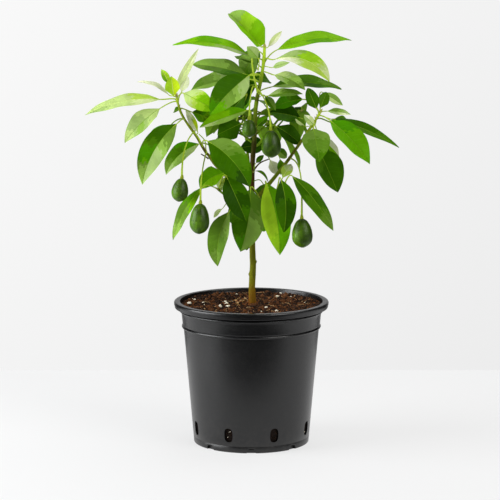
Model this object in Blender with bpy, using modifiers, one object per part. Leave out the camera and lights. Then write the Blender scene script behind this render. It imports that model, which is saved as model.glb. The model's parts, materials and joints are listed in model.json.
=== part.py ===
"""A young avocado tree standing in a black plastic nursery pot.

The pot, its potting mix, the trunk, three boughs and nine masses of foliage are
one closed solid each.  Lengths are millimetres, angles are degrees, and both are
turned into metres and radians where a mesh is made.  The origin is the centre of
the pot's flat underside, +X is to the right of the front view, +Y to the back and
+Z up.  A heading is an angle in the front view's plane, anticlockwise from the
right, and "near" is how far a direction turns from that plane to the front.
"""
import math
import random

import bmesh
import bpy
from mathutils import Vector
from mathutils.bvhtree import BVHTree

MM = 0.001
GAP = 0.3
UP = Vector((0.0, 0.0, 1.0))
FRONT = Vector((0.0, -1.0, 0.0))
GOLDEN_ANGLE = 137.5

# Pot: a thin wall with a rolled rim, a collar, a bead and a tapered body.
POT_HEIGHT = 203.5
RIM_RADIUS = 110.0
RIM_DROP = 14.0
RIM_INNER_RADIUS = 101.5
COLLAR_RADIUS = 99.4
COLLAR_FOOT = 176.0
BEAD_OUT = 1.1
BODY_TOP_RADIUS = 97.2
BASE_RADIUS = 82.0
WALL = 2.4
FLOOR = 3.0
POT_STEPS = 64
HOLE_COUNT = 8
HOLE_WIDTH = 12.5
HOLE_HEIGHT = 20.0
HOLE_CENTRE = 25.0
NOTCH_WIDTH = 13.0
NOTCH_HEIGHT = 6.5

# Potting mix: a low mound a little under the rim.
SOIL_EDGE_HEIGHT = 195.0
SOIL_CROWN_HEIGHT = 199.4
SOIL_FLAT_RADIUS = 14.0
SOIL_STEPS = 40

# Trunk: how far its centre line strays sideways at each height.
TRUNK_FOOT = SOIL_CROWN_HEIGHT + GAP
TRUNK_TOP = 488.0
TRUNK_LINE = ((0.0, 1.4), (25.0, 0.9), (52.0, 2.3), (84.0, 1.5), (148.0, 0.6),
              (184.0, 1.1), (206.0, 1.9), (234.0, 4.3), (262.0, 5.4), (278.0, 5.9),
              (288.3, 7.4))
TRUNK_FOOT_RADIUS = 5.0
TRUNK_TOP_RADIUS = 2.9
ROOT_FLARE = 1.7
FLARE_HEIGHT = 5.0

# Leaf outline: the half width at each share of the blade, as a share of the widest.
BLADE_OUTLINE = ((0.0, 0.06), (0.16, 0.62), (0.42, 1.0), (0.70, 0.80), (0.90, 0.34))
BLADE_THICKNESS = 1.5
STALK_RADIUS = 0.95
TEST_FATTEN = 0.45

# Fruit outline: share of the length from the stalk end, and share of the widest.
FRUIT_OUTLINE = ((0.02, 0.22), (0.12, 0.46), (0.30, 0.72), (0.52, 0.95), (0.68, 1.0),
                 (0.84, 0.84), (0.95, 0.50), (1.0, 0.16))
FRUIT_SIDES = 8
FRUIT_STALK_RADIUS = 1.3


def direction(heading, near):
    """Return the unit vector of a heading in the front plane turned to the front."""
    flat = math.cos(math.radians(near))
    return Vector((math.cos(math.radians(heading)) * flat,
                   -math.sin(math.radians(near)),
                   math.sin(math.radians(heading)) * flat))


def polar(bearing, rise):
    """Return the unit vector of a compass bearing about +Z and a rise above level."""
    flat = math.cos(math.radians(rise))
    return Vector((math.cos(math.radians(bearing)) * flat,
                   math.sin(math.radians(bearing)) * flat,
                   math.sin(math.radians(rise))))


def ramp(table, share):
    """Read a table of (share, value) rows by straight lines."""
    if share <= table[0][0]:
        return table[0][1]
    for (low, first), (high, second) in zip(table, table[1:]):
        if share <= high:
            return first + (second - first) * (share - low) / (high - low)
    return table[-1][1]


def limb_path(root, bearing, length, rises, step=9.0):
    """Walk a limb's centre line from its root, its rise following a short table."""
    count = max(4, round(length / step))
    points = [root.copy(), root + polar(bearing, rises[0][1]) * 2.0]
    for index in range(count):
        rise = ramp(rises, (index + 0.5) / count)
        points.append(points[-1] + polar(bearing, rise) * ((length - 2.0) / count))
    return points


def trunk_path():
    """Return the trunk's centre line and its radius at each point."""
    height = TRUNK_TOP - TRUNK_FOOT
    count = 26
    points = []
    radii = []
    for index in range(count + 1):
        share = index / count
        rise = height * share ** 1.15
        points.append(Vector((ramp(TRUNK_LINE, rise), 0.0, TRUNK_FOOT + rise)))
        taper = TRUNK_FOOT_RADIUS + (TRUNK_TOP_RADIUS - TRUNK_FOOT_RADIUS) * (rise / height) ** 0.8
        radii.append(taper + ROOT_FLARE * math.exp(-rise / FLARE_HEIGHT))
    return points, radii


def along(points, share):
    """Return the point at a share of a path's length, and the path's direction there."""
    lengths = [(b - a).length for a, b in zip(points, points[1:])]
    left = min(max(share, 0.0), 1.0) * sum(lengths)
    for index, length in enumerate(lengths):
        if left <= length or index == len(lengths) - 1:
            way = (points[index + 1] - points[index]).normalized()
            return points[index] + way * min(left, length), way
        left -= length
    return points[-1].copy(), UP.copy()


def carried_frames(points, side):
    """Carry a sideways direction back along a path, and return one at each point."""
    count = len(points)
    ways = []
    for index in range(count):
        ahead = points[min(index + 1, count - 1)] - points[max(index - 1, 0)]
        ways.append(ahead.normalized())
    sides = [None] * count
    carried = side
    for index in range(count - 1, -1, -1):
        if index < count - 1:
            carried = ways[index + 1].rotation_difference(ways[index]) @ carried
        carried = (carried - ways[index] * carried.dot(ways[index])).normalized()
        sides[index] = carried
    return ways, sides


def bent(first, second, third, fourth, count):
    """Return points along a smooth curve that four points steer."""
    points = []
    for index in range(count + 1):
        t = index / count
        points.append(first * (1 - t) ** 3 + second * (3 * t * (1 - t) ** 2)
                      + third * (3 * t * t * (1 - t)) + fourth * t ** 3)
    return points


class Leaf:
    """One leaf: a stalk from the twig's middle, and a folded, bowed blade."""

    def __init__(self, root, way, stalk, blade, face, width, bow=0.07, sweep=0.0, fold=16.0):
        """Set the leaf out from its root, the twig's direction and its named sizes."""
        self.root = root
        self.width = width
        self.length = blade[0]
        self.fold = fold
        self.heading = direction(blade[1], blade[2])
        self.base = root + direction(stalk[1], stalk[2]) * stalk[0]
        toward = (FRONT - self.heading * FRONT.dot(self.heading)).normalized()
        across = toward.cross(self.heading)
        if self.heading.x < 0.0:
            across = -across
        turn = math.radians(face)
        self.top = (toward * math.cos(turn) + across * math.sin(turn)).normalized()
        self.side = self.heading.cross(self.top).normalized()
        self.bow = self.top * (bow * self.length)
        self.sweep = self.side * (sweep * self.length)
        lead = way * (0.3 * stalk[0])
        tail = self.blade_way(0.0) * (0.35 * stalk[0])
        self.stalk = bent(root, root + lead, self.base - tail, self.base, 3)

    def blade_point(self, share):
        """Return the midrib's point at a share of the blade."""
        arch = 4.0 * share * (1.0 - share)
        return self.base + self.heading * (self.length * share) + (self.bow + self.sweep) * arch

    def blade_way(self, share):
        """Return the midrib's direction at a share of the blade."""
        slope = 4.0 * (1.0 - 2.0 * share)
        return (self.heading * self.length + (self.bow + self.sweep) * slope).normalized()

    def rings(self, fatten=0.0, blade_only=False):
        """Return the four-sided rings of the solid leaf, from root to tip."""
        found = []
        ways, sides = carried_frames(self.stalk, self.side)
        for index in range(len(self.stalk) - 1):
            if blade_only:
                break
            side = sides[index]
            top = side.cross(ways[index])
            centre = self.stalk[index]
            radius = STALK_RADIUS + fatten
            found.append([centre - side * radius, centre + top * radius,
                          centre + side * radius, centre - top * radius])
        for share, width in BLADE_OUTLINE:
            centre = self.blade_point(share)
            way = self.blade_way(share)
            side = (self.side - way * self.side.dot(way)).normalized()
            top = side.cross(way)
            half = max(self.width * 0.5 * width, STALK_RADIUS) + fatten
            lift = top * (half * math.tan(math.radians(self.fold)) * min(1.0, 4.0 * share))
            thick = top * (0.5 * BLADE_THICKNESS * (1.0 - 0.35 * share) + fatten)
            found.append([centre - side * half + lift, centre + thick,
                          centre + side * half + lift, centre - thick])
        found.append([self.blade_point(1.0 + 0.5 * fatten / self.length)])
        return found


def loft(rings):
    """Join rings of equal count, which may end in single points, into a closed skin."""
    points = []
    faces = []
    starts = []
    for ring in rings:
        starts.append(len(points))
        points.extend(ring)
    for index in range(len(rings) - 1):
        low, high = starts[index], starts[index + 1]
        count = len(rings[index])
        for corner in range(count):
            after = (corner + 1) % count
            if len(rings[index + 1]) == 1:
                faces.append((low + corner, low + after, high))
            else:
                faces.append((low + corner, low + after, high + after, high + corner))
    faces.append(tuple(starts[0] + corner for corner in reversed(range(len(rings[0])))))
    if len(rings[-1]) > 1:
        faces.append(tuple(starts[-1] + corner for corner in range(len(rings[-1]))))
    return points, faces


def fruit_rings(root, stalk, drop, length, width, lean):
    """Return the rings of a fruit and its drooping stalk, from the twig to the tip."""
    knob = root + direction(stalk[1], stalk[2]) * stalk[0]
    path = bent(root, root + direction(*drop[:2]) * drop[2], knob + UP * (0.5 * stalk[0]), knob, 7)
    hang = direction(-90.0 + lean, 0.0)
    rings = []
    ways, sides = carried_frames(path, Vector((1.0, 0.0, 0.0)))
    steps = [(path[i], ways[i], sides[i], FRUIT_STALK_RADIUS * (1.0 + 0.35 * (i > 5)))
             for i in range(len(path))]
    for share, part in FRUIT_OUTLINE:
        side = (Vector((1.0, 0.0, 0.0)) - hang * hang.x).normalized()
        steps.append((knob + hang * (length * (share + 0.03)), hang, side, 0.5 * width * part))
    for centre, way, side, radius in steps:
        other = way.cross(side)
        rings.append([centre + side * (radius * math.cos(2 * math.pi * k / FRUIT_SIDES))
                      + other * (radius * math.sin(2 * math.pi * k / FRUIT_SIDES))
                      for k in range(FRUIT_SIDES)])
    return rings


def limb_rings(points, radii, sides=6, fatten=0.0):
    """Return round rings about a path, for the test of what touches a limb."""
    ways, frames = carried_frames(points, Vector((0.0, 1.0, 0.2)).normalized())
    rings = []
    for centre, way, side, radius in zip(points, ways, frames, radii):
        other = way.cross(side)
        reach = radius / math.cos(math.pi / sides) + fatten
        rings.append([centre + side * (reach * math.cos(2 * math.pi * k / sides))
                      + other * (reach * math.sin(2 * math.pi * k / sides)) for k in range(sides)])
    return rings


def skin_tree(rings):
    """Return a search tree of a lofted skin, for overlap tests."""
    points, faces = loft(rings)
    return BVHTree.FromPolygons(points, faces)


class Mass:
    """One mass of foliage: a stem, its twigs, and the leaves and fruit on them."""

    def __init__(self, name, path, radii, room, leaf_green):
        """Start a mass from its stem's path, its end radii and the room it keeps to."""
        self.name = name
        self.path = path
        self.radii = [radii[0] + (radii[1] - radii[0]) * i / (len(path) - 1)
                      for i in range(len(path))]
        self.room = room
        self.leaf_green = leaf_green
        self.leaves = []
        self.twigs = []
        self.fruits = []
        self.skins = [skin_tree(limb_rings(path, self.radii))]
        self.blades = []

    def holds(self, rings):
        """Say whether every point of a skin is inside this mass's room."""
        low, high = self.room
        return all(low[axis] <= point[axis] <= high[axis]
                   for ring in rings for point in ring for axis in range(3))

    def clash(self, rings, blade, others, limbs):
        """Say what a new piece would leave or touch, or nothing where it fits."""
        if not self.holds(rings):
            return "room"
        tree = skin_tree(rings)
        for name, limb in limbs.items():
            if tree.overlap(limb):
                return name
        for mass in others:
            if mass is not self and any(tree.overlap(skin) for skin in mass.skins):
                return mass.name
        if blade is None:
            return ""
        blade_tree = skin_tree(blade)
        for label, own in self.blades:
            if blade_tree.overlap(own):
                return label
        return ""


class Tree:
    """All the limbs and masses of the plant, grown one after another."""

    def __init__(self):
        """Lay out the trunk and the boughs, then the masses that grow on from them."""
        self.skipped = []
        trunk, trunk_radii = trunk_path()
        self.limbs = {"trunk": (trunk, trunk_radii)}
        for name, row in BOUGHS.items():
            self.limbs[name] = self.bough(*row)
        self.limb_trees = {name: skin_tree(limb_rings(points, radii, 8, TEST_FATTEN))
                           for name, (points, radii) in self.limbs.items()}
        self.masses = {}
        for name, row in MASSES.items():
            self.masses[name] = self.mass(name, *row)

    def trunk_side(self, height, bearing, radius_share=1.0):
        """Return the point just clear of the trunk's side at a height and bearing."""
        points, radii = self.limbs["trunk"]
        share = (height - TRUNK_FOOT) / (TRUNK_TOP - TRUNK_FOOT)
        centre, _ = along(points, share)
        radius = ramp([(p.z, r) for p, r in zip(points, radii)], height)
        return centre + polar(bearing, 0.0) * (radius * radius_share + GAP)

    def bough(self, height, bearing, length, rises, radii):
        """Return a tapering bough's path and radii, its root clear of the trunk."""
        path = limb_path(self.trunk_side(height, bearing), bearing, length, rises)
        count = len(path) - 1
        return path, [radii[0] + (radii[1] - radii[0]) * (i / count) ** 0.8 for i in range(count + 1)]

    def mass(self, name, origin, length, rises, radii, bearing, room, green):
        """Start a mass at a limb's tip, or at the trunk's side where origin is a height."""
        if isinstance(origin, str):
            tip = self.limbs[origin][0]
            way = (tip[-1] - tip[-2]).normalized()
            root = tip[-1] + way * GAP
            path = limb_path(root, bearing, length, rises, 12.0)
            path[1] = root + way * 2.0
        else:
            path = limb_path(self.trunk_side(origin, bearing), bearing, length, rises, 12.0)
        return Mass(name, path, radii, room, green)

    def add_leaf(self, mass, label, path, share, sizes):
        """Add a leaf to a mass unless it would touch a limb or another mass."""
        root, way = along(path, share)
        leaf = Leaf(root, way, *sizes)
        rings = leaf.rings(TEST_FATTEN)
        blade = leaf.rings(0.0, True)
        met = mass.clash(rings, blade, self.masses.values(), self.limb_trees)
        if met:
            self.skipped.append(f"{mass.name} {label}: {met}")
            return False
        mass.leaves.append(leaf)
        mass.skins.append(skin_tree(leaf.rings()))
        mass.blades.append((label, skin_tree(leaf.rings(0.0, True))))
        return True

    def add_fruit(self, mass, label, share, sizes):
        """Add a fruit and its stalk to a mass unless they would touch another mass."""
        root, _ = along(mass.path, share)
        rings = fruit_rings(root, *sizes)
        met = mass.clash(rings, None, self.masses.values(), self.limb_trees)
        if met:
            self.skipped.append(f"{mass.name} {label}: {met}")
            return
        mass.fruits.append(rings)
        mass.skins.append(skin_tree(rings))

    def add_twig(self, mass, root, bearing, length, rise):
        """Add a side twig to a mass, and return its path if it fits."""
        path = limb_path(root, bearing, length, ((0.0, rise * 0.5), (0.4, rise), (1.0, rise + 12.0)), 8.0)
        radii = [1.5 - 0.4 * i / (len(path) - 1) for i in range(len(path))]
        rings = limb_rings(path, radii, 6, TEST_FATTEN)
        if mass.clash(rings, None, self.masses.values(), self.limb_trees):
            return None
        mass.twigs.append((path, radii))
        mass.skins.append(skin_tree(limb_rings(path, radii)))
        return path

    def grow_rule(self, mass, seed, twigs, leaves, bearing, spread, lengths):
        """Branch twigs from a mass's stem by a seeded rule, with leaves in a spiral."""
        rng = random.Random(seed)
        turn = rng.uniform(0.0, 360.0)
        paths = [mass.path]
        for index in range(twigs):
            share = 0.35 + 0.5 * (index + 0.5) / twigs
            root, _ = along(mass.path, share)
            side = bearing + spread * (1 if index % 2 else -1) * rng.uniform(0.35, 1.0)
            path = self.add_twig(mass, root, side, rng.uniform(26.0, 44.0), rng.uniform(15.0, 45.0))
            if path:
                paths.append(path)
        for index in range(leaves):
            path = paths[index % len(paths)]
            tier = index // len(paths)
            share = 1.0 - 0.13 * tier if path is not mass.path else 1.0 - 0.10 * tier
            turn += GOLDEN_ANGLE
            for _ in range(6):
                outward = turn + rng.uniform(-18.0, 18.0)
                if spread < 170.0 and math.cos(math.radians(outward - bearing)) < -0.3:
                    outward += 180.0
                rise = rng.uniform(-62.0, 8.0) + 14.0 * (tier == 0)
                length = rng.uniform(*lengths)
                stalk_way = polar(outward, rise * 0.3 + 22.0)
                blade_way = polar(outward, rise)
                sizes = ((rng.uniform(15.0, 24.0), *front_angles(stalk_way)),
                         (length, *front_angles(blade_way)),
                         face_of(blade_way, rng.uniform(-25.0, 25.0)),
                         length * rng.uniform(0.38, 0.46), rng.uniform(0.04, 0.10),
                         rng.uniform(-0.05, 0.05), rng.uniform(10.0, 20.0))
                if self.add_leaf(mass, "rule leaf", path, max(share, 0.3), sizes):
                    break
                self.skipped.pop()


def front_angles(way):
    """Return a direction's heading in the front plane and its turn to the front."""
    return math.degrees(math.atan2(way.z, way.x)), math.degrees(math.asin(max(-1.0, min(1.0, -way.y))))


def face_of(way, tilt):
    """Return the face angle that turns a blade's upper side to the sky, then tilts it."""
    toward = (FRONT - way * FRONT.dot(way)).normalized()
    across = toward.cross(way)
    if way.x < 0.0:
        across = -across
    sky = UP - way * UP.dot(way)
    return math.degrees(math.atan2(sky.dot(across), sky.dot(toward))) + tilt


# Boughs: height of the root, bearing, length, rise along it, and end radii.
BOUGHS = {
    "left_bough": (352.0, 188.0, 84.0, ((0.0, 0.0), (0.06, 46.0), (0.7, 46.0), (1.0, 60.0)), (3.2, 2.3)),
    "right_bough": (349.5, -8.0, 72.0, ((0.0, 0.0), (0.06, 48.0), (0.3, 50.0), (1.0, 53.0)), (3.2, 2.3)),
    "back_bough": (356.0, 96.0, 70.0, ((0.0, 0.0), (0.1, 44.0), (1.0, 50.0)), (3.0, 2.2)),
}

# Masses: the limb whose tip or the trunk height where the stem starts, its length,
# its rise, its end radii, its bearing, and the room's two far corners.
MASSES = {
    "top_foliage": ("trunk", 76.0, ((0.0, 78.0), (0.5, 80.0), (1.0, 89.0)), (2.9, 2.3), 0.0,
                    ((-125.0, -75.0, 395.0), (160.0, 110.0, 640.0)), (0.20, 0.42, 0.08)),
    "left_foliage": ("left_bough", 94.0, ((0.0, 62.0), (0.3, 60.0), (1.0, 63.0)), (2.2, 1.7), 189.0,
                     ((-240.0, -90.0, 270.0), (10.0, 110.0, 580.0)), (0.22, 0.42, 0.09)),
    "right_foliage": ("right_bough", 83.0, ((0.0, 55.0), (0.6, 56.0), (1.0, 60.0)), (2.2, 1.7), -6.0,
                      ((15.0, -90.0, 265.0), (225.0, 110.0, 530.0)), (0.21, 0.41, 0.08)),
    "front_left_foliage": (330.0, 66.0, ((0.0, 5.0), (0.1, 34.0), (1.0, 38.0)), (1.9, 1.5), 217.0,
                           ((-115.0, -90.0, 245.0), (10.0, 10.0, 400.0)), (0.17, 0.37, 0.07)),
    "front_right_foliage": (336.0, 70.0, ((0.0, 5.0), (0.1, 34.0), (1.0, 38.0)), (1.9, 1.5), -44.0,
                            ((-45.0, -90.0, 265.0), (120.0, 10.0, 415.0)), (0.17, 0.37, 0.07)),
    "back_left_foliage": (430.0, 72.0, ((0.0, 5.0), (0.1, 35.0), (1.0, 42.0)), (1.9, 1.5), 140.0,
                          ((-75.0, -45.0, 380.0), (10.0, 150.0, 535.0)), (0.14, 0.33, 0.07)),
    "back_right_foliage": (424.0, 72.0, ((0.0, 5.0), (0.1, 38.0), (1.0, 44.0)), (1.9, 1.5), 44.0,
                           ((-40.0, -45.0, 390.0), (86.0, 150.0, 535.0)), (0.14, 0.33, 0.07)),
    "back_foliage": ("back_bough", 62.0, ((0.0, 50.0), (1.0, 64.0)), (2.1, 1.6), 98.0,
                     ((-66.0, 8.0, 300.0), (74.0, 190.0, 500.0)), (0.16, 0.35, 0.07)),
    "back_low_foliage": (334.0, 44.0, ((0.0, 0.0), (0.2, 16.0), (1.0, 26.0)), (1.9, 1.5), 92.0,
                         ((-60.0, 2.0, 235.0), (60.0, 140.0, 385.0)), (0.15, 0.34, 0.07)),
}

# Leaves that show in the front view.  Each row: share of the stem, stalk (length,
# heading, near), blade (length, heading, near), face, width, bow, sweep, fold.
LEAVES = {
    "top_foliage": {
        "crown_leaf": (1.0, (7, 165, 35), (72, 138, -35), 36, 52, 0.04, 0.0, 34),
        "upper_left_long": (0.72, (21, 155, -11), (113, 173, -12), 62, 31, 0.11, 0.0, 12),
        "upper_left_grey": (0.45, (21, 168, -17), (81, 170, -8), 54, 36, 0.05, 0.0, 12),
        "behind_tip": (0.80, (18, 145, -41), (58, -115, -45), 20, 30, 0.06, 0.0, 14),
        "lower_left_dark": (0.30, (33, 168, -25), (74, -166, -15), 50, 34, 0.07, 0.0, 14),
        "front_left_broad": (0.42, (22, 159, 38), (83, -136, 22), 22, 42, 0.06, 0.02, 16),
        "tip_bud_leaf": (0.97, (7, 25, -35), (31, 48, -20), 10, 9, 0.04, 0.0, 14),
        "upper_right_long": (0.85, (25, 20, -5), (102, 5, -10), 64, 34, 0.10, 0.0, 12),
        "right_pale_broad": (0.78, (16, 1, 30), (85, -21, 10), 40, 36, 0.14, -0.12, 14),
        "right_narrow": (0.62, (10, -8, 36), (34, 14, 42), 30, 12, 0.05, 0.0, 14),
        "right_grey_green": (0.52, (19, -6, 25), (52, -24, 25), 40, 22, 0.07, -0.04, 14),
        "right_long_dark": (0.12, (23, 27, -20), (101, -3, -10), 62, 32, 0.09, 0.0, 12),
        "right_low_dark": (0.10, (24, 5, 55), (50, 3, 0), 55, 18, 0.06, 0.0, 14),
        "top_back_left": (0.66, (20, 130, -60), (88, 160, -62), 58, 36, 0.10, 0.0, 14),
        "top_back_right": (0.50, (20, 10, -60), (86, -18, -58), 58, 36, 0.10, 0.0, 14),
        "top_back": (0.36, (22, 100, -68), (90, -70, -58), 40, 38, 0.08, 0.0, 16),
        "low_back_left": (0.20, (22, 150, -60), (80, -145, -50), 45, 36, 0.08, 0.0, 16),
    },
    "left_foliage": {
        "far_left_long": (0.93, (26, 175, 0), (102, -170, 5), 60, 28, 0.10, 0.0, 12),
        "left_pale": (0.90, (29, -165, 12), (69, -136, 12), 40, 32, 0.06, 0.02, 16),
        "left_sliver": (0.99, (14, 165, -29), (50, 160, -15), 70, 14, 0.05, 0.0, 12),
        "left_bud": (0.96, (25, 120, -5), (20, 117, -10), 20, 8, 0.04, 0.0, 14),
        "left_young": (1.0, (5, 160, 33), (25, 96, 0), 0, 17, 0.04, 0.0, 26),
        "left_narrow": (1.0, (7, 96, -24), (70, 61, -10), 10, 12, 0.05, 0.0, 14),
        "left_grey": (0.97, (16, 57, -54), (27, 69, -30), 10, 14, 0.05, 0.0, 14),
        "left_bright": (0.86, (16, 79, 25), (48, -32, 20), 20, 23, 0.06, 0.0, 16),
        "left_small_upright": (0.35, (6, 80, -50), (29, 120, -10), 10, 10, 0.05, 0.0, 14),
        "left_big_hanging": (0.62, (25, -165, 50), (99, -120, 14), 15, 38, 0.06, 0.08, 18),
        "left_low_dark": (0.40, (19, -71, 28), (64, -138, 8), 40, 30, 0.06, 0.10, 14),
        "left_behind": (0.80, (19, -26, -43), (32, -22, -30), 20, 22, 0.05, 0.0, 14),
        "centre_glossy": (0.12, (25, 72, 59), (89, -46, 16), 5, 44, 0.06, -0.08, 18),
        "left_back_hanging": (0.62, (22, -150, -55), (82, -125, -38), 40, 34, 0.07, 0.0, 16),
        "left_back_level": (0.80, (20, -150, -58), (76, -152, -60), 55, 32, 0.09, 0.0, 14),
        "left_back_inner": (0.35, (20, -20, -60), (76, -40, -50), 35, 34, 0.08, 0.0, 16),
    },
    "right_foliage": {
        "right_fold_dark": (0.97, (10, 117, 27), (32, 113, 5), 0, 14, 0.04, 0.0, 20),
        "right_fold_green": (0.97, (9, 78, -10), (22, 78, -15), 0, 12, 0.04, 0.0, 14),
        "right_pale_back": (0.96, (13, 65, -35), (32, 4, -15), 50, 14, 0.05, 0.0, 14),
        "right_tip_small": (0.98, (11, 17, 2), (34, -8, 5), 45, 12, 0.05, 0.0, 14),
        "far_right_long": (0.92, (17, -11, 3), (107, -23, -3), 56, 32, 0.09, 0.0, 12),
        "right_bright": (0.90, (23, -7, 42), (84, -47, 14), 34, 34, 0.06, -0.02, 16),
        "right_round": (0.80, (17, -145, 43), (60, -69, 40), 5, 34, 0.06, 0.0, 14),
        "right_hanging": (0.70, (31, -71, -10), (70, -66, 0), 10, 40, 0.06, 0.0, 16),
        "right_sliver": (0.75, (28, -58, -25), (42, -47, -25), 50, 18, 0.05, 0.0, 14),
        "right_small_up": (0.86, (9, -109, 23), (21, 134, 10), 20, 12, 0.05, 0.0, 14),
        "right_inner": (0.93, (32, 133, -17), (48, -163, -20), 48, 26, 0.06, 0.0, 14),
        "right_inner_small": (0.72, (14, -180, -46), (24, 144, -20), 30, 14, 0.05, 0.0, 14),
        "right_back_hanging": (0.62, (22, -10, -55), (80, -40, -50), 40, 34, 0.07, 0.0, 16),
        "right_back_level": (0.84, (20, 20, -58), (76, -20, -60), 55, 32, 0.09, 0.0, 14),
        "right_back_low": (0.50, (24, -30, -55), (70, -62, -45), 35, 30, 0.07, 0.0, 16),
    },
    "front_left_foliage": {
        "low_left_short": (0.97, (26, 71, -10), (43, -147, -4), 35, 30, 0.06, 0.10, 14),
        "low_left_long": (0.99, (23, 169, 0), (85, -119, -8), 45, 27, 0.06, 0.04, 16),
        "centre_dark": (0.93, (27, 71, 23), (70, -66, 5), 10, 35, 0.06, 0.0, 16),
        "low_hanging": (0.50, (19, -119, 49), (80, -102, 0), 28, 32, 0.06, 0.06, 18),
        "low_left_sliver": (0.60, (8, -172, 11), (34, -122, -20), 50, 14, 0.05, 0.0, 14),
        "low_behind": (0.90, (23, 73, -28), (36, -119, -35), 20, 20, 0.05, 0.0, 14),
    },
    "front_right_foliage": {
        "centre_front_large": (0.20, (29, 119, 12), (92, -99, 0), 0, 48, 0.04, -0.04, 16),
        "front_two_tone": (0.35, (32, 86, 26), (99, -79, 4), 0, 40, 0.06, -0.05, 18),
        "front_dark": (0.70, (31, 70, 42), (75, -87, 6), 5, 31, 0.06, -0.06, 16),
        "low_right_long": (0.98, (18, 47, -5), (92, -53, 4), 32, 31, 0.06, -0.02, 16),
        "right_behind_pale": (0.85, (18, 72, -36), (28, 54, -40), 20, 16, 0.05, 0.0, 14),
    },
    "back_left_foliage": {
        "mid_left_bright": (0.10, (43, 92, 10), (72, -160, 0), 25, 25, 0.05, 0.0, 14),
        "mid_left_round": (0.25, (28, 102, 42), (46, -140, 36), 20, 38, 0.06, 0.0, 14),
        "inner_left_dark": (0.45, (49, 77, 6), (31, -130, -20), 20, 26, 0.06, 0.0, 14),
    },
    "back_right_foliage": {
        "inner_right_upper": (0.80, (36, 5, 29), (45, 170, -10), 40, 30, 0.06, 0.0, 14),
        "inner_right_mid": (0.60, (14, 19, 72), (51, -33, -5), 40, 34, 0.06, 0.0, 14),
        "inner_right_low": (0.30, (23, -47, 13), (31, -41, -30), 20, 22, 0.06, 0.0, 14),
        "behind_trunk": (0.20, (14, -40, -40), (40, -172, -10), 20, 24, 0.06, 0.0, 14),
    },
    "back_foliage": {},
    "back_low_foliage": {
        "back_low_middle": (1.0, (16, -90, -70), (88, -95, -58), 40, 36, 0.08, 0.0, 16),
        "back_low_left": (0.80, (20, 180, -60), (82, -104, -46), 30, 34, 0.07, 0.0, 16),
        "back_low_right": (0.70, (20, 0, -60), (84, -76, -48), 30, 34, 0.07, 0.0, 16),
        "back_low_tip": (0.96, (18, 50, -66), (76, -50, -66), 50, 32, 0.08, 0.0, 14),
        "back_low_inner": (0.50, (16, -150, -30), (70, -98, -22), 10, 28, 0.06, 0.0, 16),
    },
}

# Fruit: mass, share of the stem, stalk chord (length, heading, near), how the stalk
# sets off (heading, near, length), fruit length, width and lean.
FRUITS = {
    "left_high_fruit": ("left_foliage", 0.42, (72, -106, 26), (-140, 30, 18), 33, 23.5, -8),
    "left_low_fruit": ("left_foliage", 0.06, (78, -97, 30), (-110, 50, 16), 43, 27.7, -3),
    "centre_high_fruit": ("top_foliage", 0.08, (41, -109, 30), (170, 30, 12), 25, 20.0, 0),
    "centre_low_fruit": ("top_foliage", 0.05, (56, -72, 24), (-10, 30, 14), 38.5, 27.7, 2),
    "right_fruit": ("right_foliage", 0.06, (90, -78, 27), (-5, 30, 22), 41, 29.0, 2),
}

# The seeded rule: mass, seed, twigs, leaves, bearing, spread, blade lengths.
RULE = (
    ("back_foliage", 11, 4, 20, 95.0, 75.0, (58.0, 80.0)),
    ("back_left_foliage", 23, 3, 11, 135.0, 60.0, (50.0, 72.0)),
    ("back_right_foliage", 37, 3, 11, 50.0, 60.0, (50.0, 72.0)),
)


def collection(name):
    """Make a collection in the scene."""
    made = bpy.data.collections.new(name)
    bpy.context.scene.collection.children.link(made)
    return made


def material(name, colour, roughness):
    """Make a plain coloured material."""
    made = bpy.data.materials.new(name)
    made.use_nodes = True
    shader = made.node_tree.nodes["Principled BSDF"]
    shader.inputs["Base Color"].default_value = (*colour, 1.0)
    shader.inputs["Roughness"].default_value = roughness
    return made


def place(name, mesh, home, look=None, smooth=30.0):
    """Put a mesh into a collection as a named object."""
    made = bpy.data.objects.new(name, mesh)
    home.objects.link(made)
    if look:
        mesh.materials.clear()
        mesh.materials.append(look)
    mesh.shade_smooth()
    mesh.set_sharp_from_angle(angle=math.radians(smooth))
    return made


def skin_mesh(name, rings):
    """Make a mesh in metres from lofted rings in millimetres."""
    points, faces = loft(rings)
    mesh = bpy.data.meshes.new(name)
    mesh.from_pydata([tuple(point * MM) for point in points], [], faces)
    work = bmesh.new()
    work.from_mesh(mesh)
    bmesh.ops.triangulate(work, faces=work.faces)
    bmesh.ops.recalc_face_normals(work, faces=work.faces)
    work.to_mesh(mesh)
    work.free()
    return mesh


def tube_mesh(name, points, radii, resolution, home):
    """Make a tapering tube by a bevelled curve with filled caps, as a welded mesh."""
    data = bpy.data.curves.new(name + "_line", "CURVE")
    data.dimensions = "3D"
    data.bevel_depth = MM
    data.bevel_resolution = resolution
    data.use_fill_caps = True
    spline = data.splines.new("POLY")
    spline.points.add(len(points) - 1)
    for spot, point, radius in zip(spline.points, points, radii):
        spot.co = (*(point * MM), 1.0)
        spot.radius = radius
    line = bpy.data.objects.new(name + "_line", data)
    home.objects.link(line)
    mesh = bpy.data.meshes.new_from_object(line.evaluated_get(bpy.context.evaluated_depsgraph_get()))
    mesh.name = name
    bpy.data.objects.remove(line)
    bpy.data.curves.remove(data)
    work = bmesh.new()
    work.from_mesh(mesh)
    bmesh.ops.remove_doubles(work, verts=work.verts, dist=0.000001)
    bmesh.ops.triangulate(work, faces=work.faces)
    bmesh.ops.recalc_face_normals(work, faces=work.faces)
    work.to_mesh(mesh)
    work.free()
    return mesh


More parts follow.
